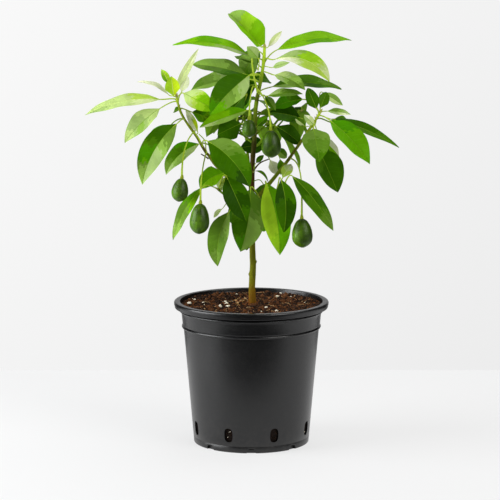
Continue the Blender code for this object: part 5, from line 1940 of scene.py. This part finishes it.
@dataclass
class FoliageMaker:
    """Draws one mass as three joined pieces: leaves, twigs and fruit."""

    mass: Mass
    seed: int
    blades: BladeMaker = field(default_factory=BladeMaker)
    sides: int = 8
    fruit_sides: int = 28

    def build(self) -> list[bpy.types.Object]:
        """Make the pieces, which stand for the mass's solid."""
        rng = random.Random(self.seed)
        leaves = Piece(self.mass.name + "_leaves")
        twigs = Piece(self.mass.name + "_twigs")
        fruit = Piece(self.mass.name + "_fruit")
        self.stem(twigs, self.mass.path, self.mass.radii, rng)
        for path, radii in self.mass.twigs:
            self.stem(twigs, path, radii, rng)
        for leaf in self.mass.leaves:
            halves = TONES.get(leaf.label) or rng.choice(SHADED_TONES)
            self.blades.draw(leaves, leaf, halves, rng)
            self.stalk(leaves, leaf)
            self.bud(twigs, leaf.root + leaf.heading * 1.2, leaf.root + UP * 3.6 + leaf.heading * 2.4, 0.75)
        for one in self.mass.fruits:
            self.fruit(fruit, twigs, one)
        for name, finish, ends, points in SHOOTS:
            if name == self.mass.name:
                fine = rounded_path([Vector(point) for point in points], 2.0)
                twigs.tube(fine, tapered(ends, len(fine)), finish, self.sides)
        made = [part.make(60.0) for part in (leaves, twigs, fruit) if part.faces]
        for part in made:
            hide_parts(self.mass.name)
        return made

    def stem(self, piece: Piece, path: Ring, radii: Sequence[float], rng: random.Random) -> None:
        """Add a stem or twig with slight swellings, and a bud at its tip.

        Args:
            piece: The piece of the mass's twigs.
            path: The stem's centre line.
            radii: Its radii, of which the first and the last count.
            rng: The seeded numbers for its swellings.
        """
        fine = rounded_path(path, 2.5)
        count = len(fine) - 1
        phase = rng.uniform(0.0, PHASES)
        widths = []
        for index in range(count + 1):
            share = index / count
            base = radii[0] + (radii[-1] - radii[0]) * share
            widths.append(base * (1.0 + 0.07 * math.sin(share * count * 0.55 + phase)))
        name = self.mass.name
        finish = TWIG
        if name in STEM_STOPS:
            finish = BarkFinish(name + "_bark", STEM_STOPS[name], path[0].z, path[-1].z)
        piece.tube(fine, widths, finish, self.sides)
        way = (fine[-1] - fine[-2]).normalized()
        self.bud(piece, fine[-1] - way * 1.0, fine[-1] + way * 6.5, widths[-1] * 0.95)

    def bud(self, piece: Piece, foot: Vector, tip: Vector, radius: float) -> None:
        """Add a small pointed bud.

        Args:
            piece: The piece that it joins.
            foot: The middle of its foot.
            tip: Its point.
            radius: Its radius.
        """
        way = tip - foot
        points = [foot + way * share for share in (0.0, 0.25, 0.5, 0.75, 0.95)]
        piece.tube(points, [radius * part for part in (0.8, 1.1, 1.0, 0.6, 0.15)], BUD, 6)

    def stalk(self, piece: Piece, leaf: Leaf) -> None:
        """Add a leaf's stalk, swollen at its root and running into the rib.

        Args:
            piece: The piece of the mass's leaves.
            leaf: The leaf.
        """
        small = min(1.0, 0.45 + leaf.width / 45.0)
        path = bent(*leaf.steer, 9) + [leaf.blade_point(0.03), leaf.blade_point(0.08)]
        count = len(path) - 1
        radii = []
        for index in range(count + 1):
            share = index / count
            swell = 0.55 * math.exp(-share * 9.0)
            radii.append(small * (0.95 + swell - 0.45 * max(0.0, share - 0.7) / 0.3))
        piece.tube(path, radii, SHOOT if leaf.label in TONES else TWIG, 6)

    def fruit(self, piece: Piece, twigs: Piece, fruit: Fruit) -> None:
        """Add a fruit to one piece, and its stalk with a knob to another.

        Args:
            piece: The piece of the mass's fruit.
            twigs: The piece of the mass's twigs.
            fruit: The fruit.
        """
        path = fruit.path(18)
        count = len(path) - 1
        radii = [0.95 + 0.75 * (index / count) ** 4 + 0.25 * math.exp(-index / 2.0)
                 for index in range(count + 1)]
        twigs.tube(path, radii, SHOOT, self.sides)
        hang = direction(-90.0 + fruit.lean, 0.0)
        knob = fruit.knob()
        swelling = ((-4.0, 1.5), (-2.0, 2.1), (-0.5, 2.5), (1.0, 2.7), (2.2, 2.2))
        twigs.tube([knob + hang * drop for drop, _ in swelling], [wide for _, wide in swelling], KNOB, 12)
        side = (RIGHT - hang * hang.x).normalized()
        other = hang.cross(side)
        rings: list[Ring] = []
        steps = 26
        for index in range(steps + 1):
            share = 0.5 - 0.5 * math.cos(math.pi * index / steps)
            radius = 0.5 * fruit.width * smooth_ramp(EGG_OUTLINE, share)
            centre = knob + hang * (fruit.length * (share + 0.03))
            ring = []
            for k in range(self.fruit_sides):
                angle = 2 * math.pi * k / self.fruit_sides
                out = side * math.cos(angle) + other * math.sin(angle)
                spot = centre + out * radius
                bump = noise.noise(spot * 0.55) * 0.16 + noise.noise(spot * 0.12) * 0.35
                ring.append(centre + out * max(0.2, radius + bump))
            rings.append(ring)
        start = len(piece.faces)
        piece.skin(rings, knob + hang * (fruit.length * 0.03), knob + hang * (fruit.length * 1.03 + 0.3), 0)

        def choose(middle: Vector) -> int:
            """Return the slot for a face's middle: paler to the left and below, which is painted light, and
            deeper to the right and above, which is painted shade.
            """
            out = (middle - knob) / (0.5 * fruit.width)
            place = 2.3 + 2.2 * out.dot(side) + 0.30 * (out.z + 1.3) + 0.5 * noise.noise(middle * 0.2)
            return piece.slot(FRUIT_PAINTED_LIGHT_TONES[min(4, max(0, round(place)))])

        piece.deal(start, choose)


@dataclass
class LimbMaker:
    """Draws the trunk or a bough in relief: furrows, leaf scars, collars and a root flare.

    Attributes:
        name: The limb's node.
        path: Its centre line.
        radii: Its radius at each point.
        finish: Its bark.
        sides: How many sides it has.
        step: The length of one step of its mesh.
        furrow: The furrows' depth, as a share of the radius.
        rooted: Whether it flares where it enters the mix.
        scars: Each leaf scar's height, bearing and size.
        collars: Each collar's height and swelling.
    """

    name: str
    path: Ring
    radii: list[float]
    finish: BarkFinish
    sides: int = 28
    step: float = 1.6
    furrow: float = 0.05
    rooted: bool = False
    scars: tuple[tuple[float, float, float], ...] = ()
    collars: tuple[tuple[float, float], ...] = ()

    def build(self) -> bpy.types.Object:
        """Make the limb, which stands for its solid."""
        piece = Piece(self.name + "_bark")
        fine = rounded_path(self.path, self.step)
        fine[0], fine[-1] = self.path[0].copy(), self.path[-1].copy()
        ways, frames = carried_frames(fine, BACK)
        lengths, spots = runs(fine), runs(self.path)
        table = list(zip(spots, self.radii))
        rings: list[Ring] = []
        for centre, way, side, run in zip(fine, ways, frames, lengths):
            other = way.cross(side)
            base = ramp(table, run * spots[-1] / lengths[-1])
            if self.rooted:
                base -= 1.2 * math.exp(-run / FLARE_HEIGHT)
            for height, swell in self.collars:
                base += swell * math.exp(-((run - height) / 3.2) ** 2)
            ring = []
            for k in range(self.sides):
                angle = 2 * math.pi * k / self.sides
                out = side * math.cos(angle) + other * math.sin(angle)
                radius = base * (1.0 + self.relief(out, run, angle)) + self.scar(out, run)
                ring.append(centre + out * radius)
            rings.append(ring)
        piece.skin(rings, fine[0], fine[-1], piece.slot(self.finish))
        made = piece.make(70.0)
        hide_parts(self.name)
        return made

    def relief(self, out: Vector, run: float, angle: float) -> float:
        """Return the share by which furrows and swellings change the radius at a place.

        Args:
            out: The direction from the centre line.
            run: How far along the limb the place is.
            angle: The same direction as an angle.

        Returns:
            The share.
        """
        spot = Vector((out.x * 2.2, out.y * 2.2, run * 0.06))
        long = noise.noise(spot) + 0.5 * noise.noise(Vector((out.x * 5.0, out.y * 5.0, run * 0.16)))
        flare = 0.06 * math.exp(-run / 6.0) * math.sin(3.0 * angle + 0.8)
        return self.furrow * long + (flare if self.rooted else 0.0)

    def scar(self, out: Vector, run: float) -> float:
        """Return how far the leaf scars stand out at a place.

        Args:
            out: The direction from the centre line.
            run: How far along the limb the place is.

        Returns:
            The distance.
        """
        total = 0.0
        for height, bearing, size in self.scars:
            turn = max(0.0, out.dot(polar(bearing, 0.0)))
            total += size * turn ** 6 * math.exp(-((run - height) / 2.4) ** 2)
            total -= 0.35 * size * turn ** 10 * math.exp(-((run - height - 1.6) / 0.9) ** 2)
        return total


@dataclass
class Pot:
    """The nursery pot: a turned wall with a rolled rim, a bead, drain holes and notches."""

    steps: int = 192
    hole_count: int = 8
    hole_width: float = 12.5
    hole_height: float = 20.0
    hole_centre: float = 25.0
    notch_width: float = 13.0
    notch_height: float = 6.5

    def wall_radius(self, height: float) -> float:
        """Return the body's outer radius at a height below the collar."""
        return BASE_RADIUS + (BODY_TOP_RADIUS - BASE_RADIUS) * height / COLLAR_FOOT

    def roll(self, radius: float, height: float, size: float, first: float, last: float,
             count: int) -> list[tuple[float, float]]:
        """Return points round part of a circle, for a rolled or rounded edge.

        Args:
            radius: The circle's distance from the pot's axis.
            height: The circle's height.
            size: The circle's own radius.
            first: The angle of the first point, in degrees from outward.
            last: The angle of the last point.
            count: How many steps lie between them.

        Returns:
            The (radius, height) points.
        """
        turns = [math.radians(first + (last - first) * i / count) for i in range(count + 1)]
        return [(radius + size * math.cos(t), height + size * math.sin(t)) for t in turns]

    def profile(self) -> list[tuple[float, float]]:
        """Return the wall's section as (radius, height) points, from inside to outside."""
        low = POT_HEIGHT - RIM_DROP
        inner = self.wall_radius(FLOOR) - WALL
        rim = [(RIM_INNER_RADIUS - 0.7, POT_HEIGHT - 5.0), (RIM_INNER_RADIUS - 0.3, POT_HEIGHT - 2.2)]
        rim += self.roll(RIM_INNER_RADIUS + 0.8, POT_HEIGHT - 1.0, 1.0, 172.0, 92.0, 5)
        rim += self.roll(RIM_RADIUS - 2.3, POT_HEIGHT - 2.3, 2.3, 90.0, 8.0, 8)
        rim += [(RIM_RADIUS - 0.2, POT_HEIGHT - 4.6), (RIM_RADIUS - 0.9, POT_HEIGHT - 7.0)]
        rim += self.roll(RIM_RADIUS - 2.2, POT_HEIGHT - 7.9, 1.2, 4.0, -82.0, 6)
        rim += [(RIM_RADIUS - 4.8, POT_HEIGHT - 9.6), (COLLAR_RADIUS + 3.2, POT_HEIGHT - 10.8)]
        rim += self.roll(COLLAR_RADIUS + 1.4, low + 0.9, 1.5, 76.0, -42.0, 8)
        collar = [(COLLAR_RADIUS + 0.4, low - 1.6), (COLLAR_RADIUS - 0.2, low - 4.0),
                  (COLLAR_RADIUS - 1.5, BEAD_HEIGHT + 5.0), (COLLAR_RADIUS - 1.7, BEAD_HEIGHT + 3.2)]
        collar += self.roll(COLLAR_RADIUS - 2.2, BEAD_HEIGHT + 1.0, BEAD_OUT + 0.7, 84.0, -45.0, 9)
        collar += [(self.wall_radius(BEAD_HEIGHT) + 0.1, BEAD_HEIGHT - 1.4),
                   (self.wall_radius(BEAD_HEIGHT) - 0.1, BEAD_HEIGHT - 3.0)]
        body = [(self.wall_radius(h), h) for h in (148.0, 120.0, 90.0, 60.0, 40.0, 22.0, 10.6)]
        foot = [(self.wall_radius(10.0) - 0.35, 10.0), (self.wall_radius(9.0) - 0.35, 9.0),
                (self.wall_radius(8.4), 8.4), (self.wall_radius(2.6), 2.6)]
        foot += self.roll(BASE_RADIUS - 1.2, 1.4, 1.4, 0.0, -85.0, 5)
        inside = [(0.0, FLOOR), (inner - 3.0, FLOOR), (inner, FLOOR + 2.5),
                  (BODY_TOP_RADIUS - WALL, COLLAR_FOOT), (COLLAR_RADIUS - WALL + 0.6, low - 2.0)]
        return [*inside, *rim, *collar, *body, *foot, (0.0, 0.0)]

    def cutter(self, index: int, hole: bool) -> bpy.types.Object:
        """Make the block that cuts one drain hole or one notch at the foot.

        Args:
            index: The opening's number round the pot.
            hole: Whether it is a drain hole.

        Returns:
            The block.
        """
        width, height = self.notch_width, 2 * self.notch_height
        if hole:
            width, height = self.hole_width, self.hole_height
        turn = 2 * math.pi * (index + (0.5 if hole else 1.0)) / self.hole_count
        centre = self.hole_centre if hole else 0.0
        reach = self.wall_radius(centre) + (0.0 if hole else 3.4)
        depth = 12.0 if hole else 7.0
        out = Vector((math.cos(turn), math.sin(turn), 0.0))
        across = Vector((-math.sin(turn), math.cos(turn), 0.0))
        block: list[Vector] = []
        sides, power = 28, 0.72
        for level in (-depth, depth):
            for k in range(sides):
                angle = 2 * math.pi * k / sides
                x = math.copysign(abs(math.cos(angle)) ** power, math.cos(angle)) * width * 0.5
                z = math.copysign(abs(math.sin(angle)) ** power, math.sin(angle)) * height * 0.5
                block.append((out * (reach + level) + across * x + UP * (z + centre)) * MM)
        faces = [tuple(range(sides)), tuple(range(2 * sides - 1, sides - 1, -1))]
        faces += [(k, k + sides, (k + 1) % sides + sides, (k + 1) % sides) for k in range(sides)]
        return bpy.data.objects.new("cutter", outward_mesh("cutter", block, faces))

    def build(self) -> bpy.types.Object:
        """Make the pot, which stands for its solid."""
        profile = self.profile()
        points: list[Vector] = []
        faces: list[Face] = []
        inner = profile[1:-1]
        for k in range(self.steps):
            turn = 2 * math.pi * k / self.steps
            points += [Vector((r * math.cos(turn) * MM, r * math.sin(turn) * MM, h * MM)) for r, h in inner]
        count = len(inner)
        total = len(points)
        for k in range(self.steps):
            a, b = k * count, (k + 1) % self.steps * count
            faces += [(a + i, a + i + 1, b + i + 1, b + i) for i in range(count - 1)]
            faces.append((b, total, a))
            faces.append((a + count - 1, total + 1, b + count - 1))
        points += [Vector((0.0, 0.0, FLOOR * MM)), Vector((0.0, 0.0, 0.0))]
        mesh = outward_mesh("pot_shell", points, faces)
        made = in_scene("pot_shell", mesh)
        mesh.materials.append(material_of(POT_PLASTIC))
        cutters = bpy.data.collections.new("pot_cutters")
        bpy.context.scene.collection.children.link(cutters)
        for index in range(self.hole_count):
            for hole in (True, False):
                cutters.objects.link(self.cutter(index, hole))
        cut = made.modifiers.new("drain", "BOOLEAN")
        cut.operation, cut.operand_type, cut.solver = "DIFFERENCE", "COLLECTION", "EXACT"
        cut.collection = cutters
        graph = bpy.context.evaluated_depsgraph_get()
        fresh = bpy.data.meshes.new_from_object(made.evaluated_get(graph))
        made.modifiers.clear()
        made.data = fresh
        for block in list(cutters.objects):
            bpy.data.objects.remove(block)
        bpy.data.collections.remove(cutters)
        fresh.shade_smooth()
        fresh.set_sharp_from_angle(angle=math.radians(34.0))
        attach(made, "root")
        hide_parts("pot")
        LOG.info("pot_shell: %d faces", len(fresh.polygons))
        return made


@dataclass
class PottingMix:
    """The potting mix: an uneven mound with loose crumbs, fibres and perlite on it."""

    seed: int = 5
    crumbs: int = 2800
    clods: int = 420
    fibres: int = 90
    perlite: int = 20
    litter: int = 46
    heap: int = 54
    hole_crumbs: int = 16
    rings: int = 46
    sides: int = 150

    def edge(self) -> float:
        """Return the mound's radius just clear of the pot's wall."""
        return RIM_INNER_RADIUS - 1.2 - GAP

    def height(self, x: float, y: float) -> float:
        """Return the mound's height at a place.

        Args:
            x: The place to the right of the pot's axis.
            y: The place behind it.

        Returns:
            The height in the row frame.
        """
        radius = math.hypot(x, y)
        base = ramp(((0.0, SOIL_CROWN_HEIGHT), (14.0, SOIL_CROWN_HEIGHT), (34.0, SOIL_CROWN_HEIGHT - 1.2),
                     (62.0, SOIL_CROWN_HEIGHT - 2.2), (84.0, SOIL_EDGE_HEIGHT + 0.8),
                     (self.edge(), SOIL_EDGE_HEIGHT)), radius)
        spot = Vector((x, y, 3.0))
        rough = (2.2 * noise.noise(spot * 0.045) + 1.6 * noise.noise(spot * 0.13)
                 + 0.8 * noise.noise(spot * 0.34))
        near = min(1.0, max(0.15, (radius - 5.0) / 16.0))
        rim = 1.0 - 0.6 * min(1.0, max(0.0, (radius - 84.0) / 14.0))
        return base + rough * near * rim - 0.9

    def build(self) -> list[bpy.types.Object]:
        """Make the pieces, which stand for the mix's solid."""
        rng = random.Random(self.seed)
        ground = Piece("soil_ground")
        self.mound(ground)
        crumbs = Piece("soil_crumbs")
        for _ in range(self.crumbs):
            self.grain(crumbs, rng, rng.uniform(0.6, 2.0),
                       rng.choices((CRUMB_DARK, CRUMB_BROWN, CRUMB_RED), (6, 4, 2))[0], 0.25)
        for _ in range(self.clods):
            self.grain(crumbs, rng, rng.uniform(2.2, 4.6),
                       rng.choices((CRUMB_DARK, CRUMB_BROWN), (3, 2))[0], 0.1)
        fibres = Piece("soil_fibres")
        for _ in range(self.fibres):
            self.fibre(fibres, rng)
        grains = Piece("soil_perlite")
        for _ in range(self.perlite):
            self.grain(grains, rng, rng.uniform(0.7, 1.5), PERLITE, 0.6)
        for x, y, size in PERLITE_GRAINS:
            self.lump(grains, rng, Vector((x, y, self.height(x, y) + 0.45 * size)), size, PERLITE)
        for _ in range(self.litter):
            at = Vector((rng.gauss(-17.0, 7.0), rng.gauss(14.0, 12.0), 0.0))
            at.z = self.height(at.x, at.y) + rng.uniform(0.5, 3.0)
            self.lump(crumbs, rng, at, rng.uniform(1.0, 2.6), rng.choice((FIBRE_TAN, CRUMB_RED, CRUMB_TAN)))
        for index in range(self.heap):
            turn, reach = index * GOLDEN_ANGLE, 5.6 + 0.17 * index
            at = polar(turn, 0.0) * reach
            at.z = self.height(at.x, at.y) + 1.8 - 0.14 * reach
            self.lump(crumbs, rng, at, rng.uniform(1.2, 2.8),
                      rng.choice((CRUMB_DARK, CRUMB_BROWN, CRUMB_RED)))
        self.show_in_holes(crumbs, grains, rng)
        made = [part.make(45.0) for part in (ground, crumbs, fibres, grains)]
        for part in made:
            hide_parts("soil")
        return made

    def mound(self, piece: Piece) -> None:
        """Add the mix's own body, rough on top and smooth against the wall.

        Args:
            piece: The piece that it makes.
        """
        pot = Pot()
        loops: list[Ring] = []
        foot = pot.wall_radius(FLOOR) - WALL - GAP - 3.2
        for radius, height in ((foot, FLOOR + GAP), (foot + 3.0, FLOOR + 3.2),
                               (pot.wall_radius(60.0) - WALL - GAP - 0.1, 60.0),
                               (pot.wall_radius(120.0) - WALL - GAP - 0.1, 120.0),
                               (BODY_TOP_RADIUS - WALL - GAP - 0.1, COLLAR_FOOT),
                               (COLLAR_RADIUS - WALL - GAP + 0.2, POT_HEIGHT - RIM_DROP - 2.0)):
            loops.append(circle(UP * height, RIGHT, BACK, radius, self.sides))
        for index in range(self.rings):
            radius = self.edge() * (1.0 - index / self.rings)
            loop = []
            for k in range(self.sides):
                angle = 2 * math.pi * k / self.sides
                x, y = radius * math.cos(angle), radius * math.sin(angle)
                loop.append(Vector((x, y, self.height(x, y))))
            loops.append(loop)
        # The mound's side against the wall is dealt the darker soil, which is painted shade; its top gets
        # the ground.
        bands = [piece.slot(SOIL_PAINTED_SHADE)] * 5 + [piece.slot(SOIL_GROUND)] * (len(loops) - 6)
        piece.skin(loops, UP * (FLOOR + GAP), UP * self.height(0.0, 0.0), bands)

    def spot(self, rng: random.Random, keep: float) -> Vector:
        """Return a random place on the mound, away from the wall and the trunk.

        Args:
            rng: The seeded numbers.
            keep: How far it stays from the wall.

        Returns:
            The place.
        """
        while True:
            x, y = rng.uniform(-97.0, 97.0), rng.uniform(-97.0, 97.0)
            if 6.5 < math.hypot(x, y) < self.edge() - keep:
                return Vector((x, y, self.height(x, y)))

    def grain(self, piece: Piece, rng: random.Random, size: float, finish: GritFinish,
              proud: float) -> None:
        """Add one uneven grain at a random place, partly sunk in the mound.

        Args:
            piece: The joined piece.
            rng: The seeded numbers.
            size: The grain's radius.
            finish: Its finish.
            proud: How far its middle stands above the mound, in half radii.
        """
        centre = self.spot(rng, size + 0.5)
        centre.z += size * proud * 0.5
        self.lump(piece, rng, centre, size, finish)

    def lump(self, piece: Piece, rng: random.Random, centre: Vector, size: float,
             finish: GritFinish) -> None:
        """Add a small closed lump with uneven corners.

        Args:
            piece: The joined piece.
            rng: The seeded numbers.
            centre: The lump's middle.
            size: Its radius.
            finish: Its finish.
        """
        flat = (rng.uniform(0.7, 1.2), rng.uniform(0.7, 1.2), rng.uniform(0.5, 0.9))
        turn = rng.uniform(0.0, PHASES)
        rings: list[Ring] = []
        for rise, wide in ((-0.62, 0.72), (0.05, 1.0), (0.66, 0.66)):
            ring = []
            for k in range(6):
                angle = turn + 2 * math.pi * (k + 0.5 * (wide < 1.0)) / 6
                reach = size * wide * rng.uniform(0.78, 1.15)
                ring.append(centre + Vector((math.cos(angle) * reach * flat[0],
                                             math.sin(angle) * reach * flat[1],
                                             rise * size * flat[2] * rng.uniform(0.8, 1.15))))
            rings.append(ring)
        crest = centre + UP * (size * flat[2] * rng.uniform(0.85, 1.1))
        piece.skin(rings, centre - UP * (size * flat[2] * 0.95), crest, piece.slot(finish))

    def fibre(self, piece: Piece, rng: random.Random) -> None:
        """Add one thin curved fibre lying on the mound.

        Args:
            piece: The joined piece.
            rng: The seeded numbers.
        """
        start = self.spot(rng, 16.0)
        heading = rng.uniform(0.0, PHASES)
        bend = rng.uniform(-0.5, 0.5)
        length = rng.uniform(5.0, 15.0)
        points = []
        for index in range(6):
            share = index / 5
            angle = heading + bend * share * 2.0
            at = start + Vector((math.cos(angle), math.sin(angle), 0.0)) * (length * share)
            if math.hypot(at.x, at.y) > self.edge() - 2.0:
                return
            at.z = self.height(at.x, at.y) + 0.9 + 0.7 * math.sin(share * math.pi) * rng.uniform(0.4, 1.0)
            points.append(at)
        radius = rng.uniform(0.22, 0.48)
        piece.tube(points, [radius, radius, radius, radius, radius * 0.9, radius * 0.5],
                   rng.choices((FIBRE_TAN, CRUMB_RED), (3, 2))[0], 5)

    def show_in_holes(self, crumbs: Piece, grains: Piece, rng: random.Random) -> None:
        """Add the crumbs and grains of perlite that show in the drain holes.

        Args:
            crumbs: The piece of the crumbs.
            grains: The piece of the perlite.
            rng: The seeded numbers.
        """
        pot = Pot()
        for index in range(pot.hole_count):
            turn = 2 * math.pi * (index + 0.5) / pot.hole_count
            for number in range(self.hole_crumbs):
                angle = turn + rng.uniform(-0.06, 0.06)
                height = pot.hole_centre + rng.uniform(-8.0, 8.0)
                size = rng.uniform(0.7, 1.5)
                reach = pot.wall_radius(height) - WALL - GAP - 0.5 * size
                centre = Vector((math.cos(angle) * reach, math.sin(angle) * reach, height))
                white = number in (3, 11) and index % 3
                self.lump(grains if white else crumbs, rng, centre, size,
                          PERLITE if white else CRUMB_DARK)


@dataclass
class Studio:
    """The camera at the photograph's place, a pale floor, and soft lights.

    Attributes:
        camera_height: The camera's height in metres.
        camera_back: How far it stands in front of the pot's axis.
        camera_side: Its place to the right of that axis.
        look_down: How far it looks down, in degrees.
        lens: Its focal length in millimetres.
        floor_back: The floor's far edge.
        flag_front: The far edge of the dark flag that the pot's foot mirrors.
        floor_glow: The floor's own light, which keeps it pale.
        sky_across: The seen backdrop from left to right: two places and their greys.
        sky_down: What is added to it from low to high.
        sky_mirrored: The light that glossy faces mirror, in front and behind.
        fill: The light from all round on matt faces.
        boxes: Each soft box's name, place, size, watts and colour.
    """

    camera_height: float = 0.8334
    camera_back: float = 3.5
    camera_side: float = -0.0019
    look_down: float = 9.047
    lens: float = 180.0
    floor_back: float = 0.491
    flag_front: float = -0.31
    floor_glow: float = 0.668
    sky_across: Row = (-0.10, 0.10, 0.945, 0.888)
    sky_down: Row = (-0.204, -0.058, -0.045, 0.0)
    sky_mirrored: Row = (0.86, 0.97, 0.03, 0.70)
    fill: float = 0.19
    boxes: tuple[tuple[str, Row, Row, float, Colour], ...] = (
        ("right_box", (2.1, -1.9, 2.0), (1.8, 1.8), 66.0, (1.0, 0.99, 0.97)),
        ("left_box", (-1.5, -0.35, 0.75), (1.3, 1.5), 41.0, (0.97, 0.985, 1.0)),
        ("top_box", (0.5, 0.9, 2.9), (2.2, 2.2), 42.0, (1.0, 1.0, 1.0)))

    def build(self) -> None:
        """Make the camera, the floor, the sky's light and the soft boxes."""
        self.camera()
        self.floor()
        self.world()
        for box in self.boxes:
            self.soft_box(*box)

    def camera(self) -> None:
        """Make the camera."""
        data = bpy.data.cameras.new("camera")
        data.sensor_width = 36.0
        data.lens = self.lens
        data.clip_end = 60.0
        made = in_scene("camera", data)
        made.location = (self.camera_side, -self.camera_back, self.camera_height)
        made.rotation_euler = (math.radians(90.0 - self.look_down), 0.0, 0.0)
        bpy.context.scene.camera = made

    def sheet(self, name: str, low: Row, high: Row, height: float, look: Look) -> bpy.types.Object:
        """Make one level sheet of the studio.

        Args:
            name: Its name.
            low: Its left and front edges in metres.
            high: Its right and back edges.
            height: Its height.
            look: Its finish.

        Returns:
            The sheet.
        """
        mesh = bpy.data.meshes.new(name)
        corners = [(*low, height), (high[0], low[1], height), (*high, height), (low[0], high[1], height)]
        mesh.from_pydata(corners, [], [(0, 1, 2, 3)])
        made = in_scene(name, mesh)
        mesh.materials.append(look.material)
        return made

    def floor(self) -> None:
        """Make the pale table top, whose far edge is the faint line behind the pot."""
        look = Look("floor_white", Specular_IOR_Level=0.0, Emission_Strength=self.floor_glow)
        look.feed(look.shader.inputs["Emission Color"], (1.0, 1.0, 0.998))
        look.dress((0.20, 0.201, 0.203), 0.24 + 0.05 * look.noise(3.0, 2.0))
        self.sheet("floor", (-6.0, -9.0), (6.0, self.floor_back), 0.0, look)
        dark = Look("flag_black", Specular_IOR_Level=0.0)
        dark.dress((0.02, 0.02, 0.02), 0.9)
        flag = self.sheet("flag", (-0.9, -3.2), (1.6, self.flag_front), 0.004, dark)
        flag.visible_camera = flag.visible_diffuse = flag.visible_shadow = False

    def world(self) -> None:
        """Make the plain light all round, paler where the camera sees it."""
        world = bpy.data.worlds.new("studio")
        world.use_nodes = True
        nodes = Nodes(world.node_tree)
        seen = world.node_tree.nodes["Background"]
        way = nodes.node("ShaderNodeTexCoord", output="Generated")
        across, deep, up = (nodes.node("ShaderNodeSeparateXYZ", inputs={0: way}, output=axis)
                            for axis in ("X", "Y", "Z"))
        nodes.feed(seen.inputs["Color"], across.spread(self.sky_across) + up.spread(self.sky_down))
        glossy = nodes.node("ShaderNodeLightPath", output="Is Glossy Ray")
        light = glossy.spread((0.0, 1.0, self.fill, 0.0)) + deep.spread(self.sky_mirrored) * glossy
        lit = nodes.node("ShaderNodeBackground", inputs={"Color": light})
        eye = nodes.node("ShaderNodeLightPath", output="Is Camera Ray")
        mixed = nodes.node("ShaderNodeMixShader", inputs={0: eye, 1: lit, 2: Wire(nodes, seen.outputs[0])})
        nodes.feed(world.node_tree.nodes["World Output"].inputs["Surface"], mixed)
        bpy.context.scene.world = world
        bpy.context.scene.view_settings.view_transform = "Standard"

    def soft_box(self, name: str, place: Row, size: Row, watts: float, colour: Colour) -> None:
        """Make one soft box that faces the middle of the tree.

        Args:
            name: Its name.
            place: Where it stands, in metres.
            size: Its width and height.
            watts: Its power.
            colour: Its colour.
        """
        data = bpy.data.lights.new(name, "AREA")
        data.shape = "RECTANGLE"
        data.size, data.size_y = size
        data.energy = watts
        data.color = colour
        made = in_scene(name, data)
        made.location = place
        out = (Vector(place) - Vector((0.0, 0.0, 0.3))).normalized()
        made.rotation_euler = out.to_track_quat("Z", "Y").to_euler()


def main() -> None:
    """Build the studio, the pot, the mix, the limbs and the foliage in order."""
    logging.basicConfig(level=logging.INFO, format="%(name)s %(message)s")
    Studio().build()
    Pot().build()
    PottingMix().build()
    tree = grow_tree()
    for name, (points, radii) in tree.limbs.items():
        if name == "trunk":
            LimbMaker(name, points, radii, TRUNK_BARK, rooted=True, scars=TRUNK_SCARS,
                      collars=TRUNK_COLLARS).build()
        else:
            LimbMaker(name, points, radii, BOUGH_BARK, 16, 1.8, collars=BOUGH_COLLARS).build()
    for seed, mass in enumerate(tree.masses.values()):
        FoliageMaker(mass, 100 + seed).build()


if __name__ == "__main__":
    main()
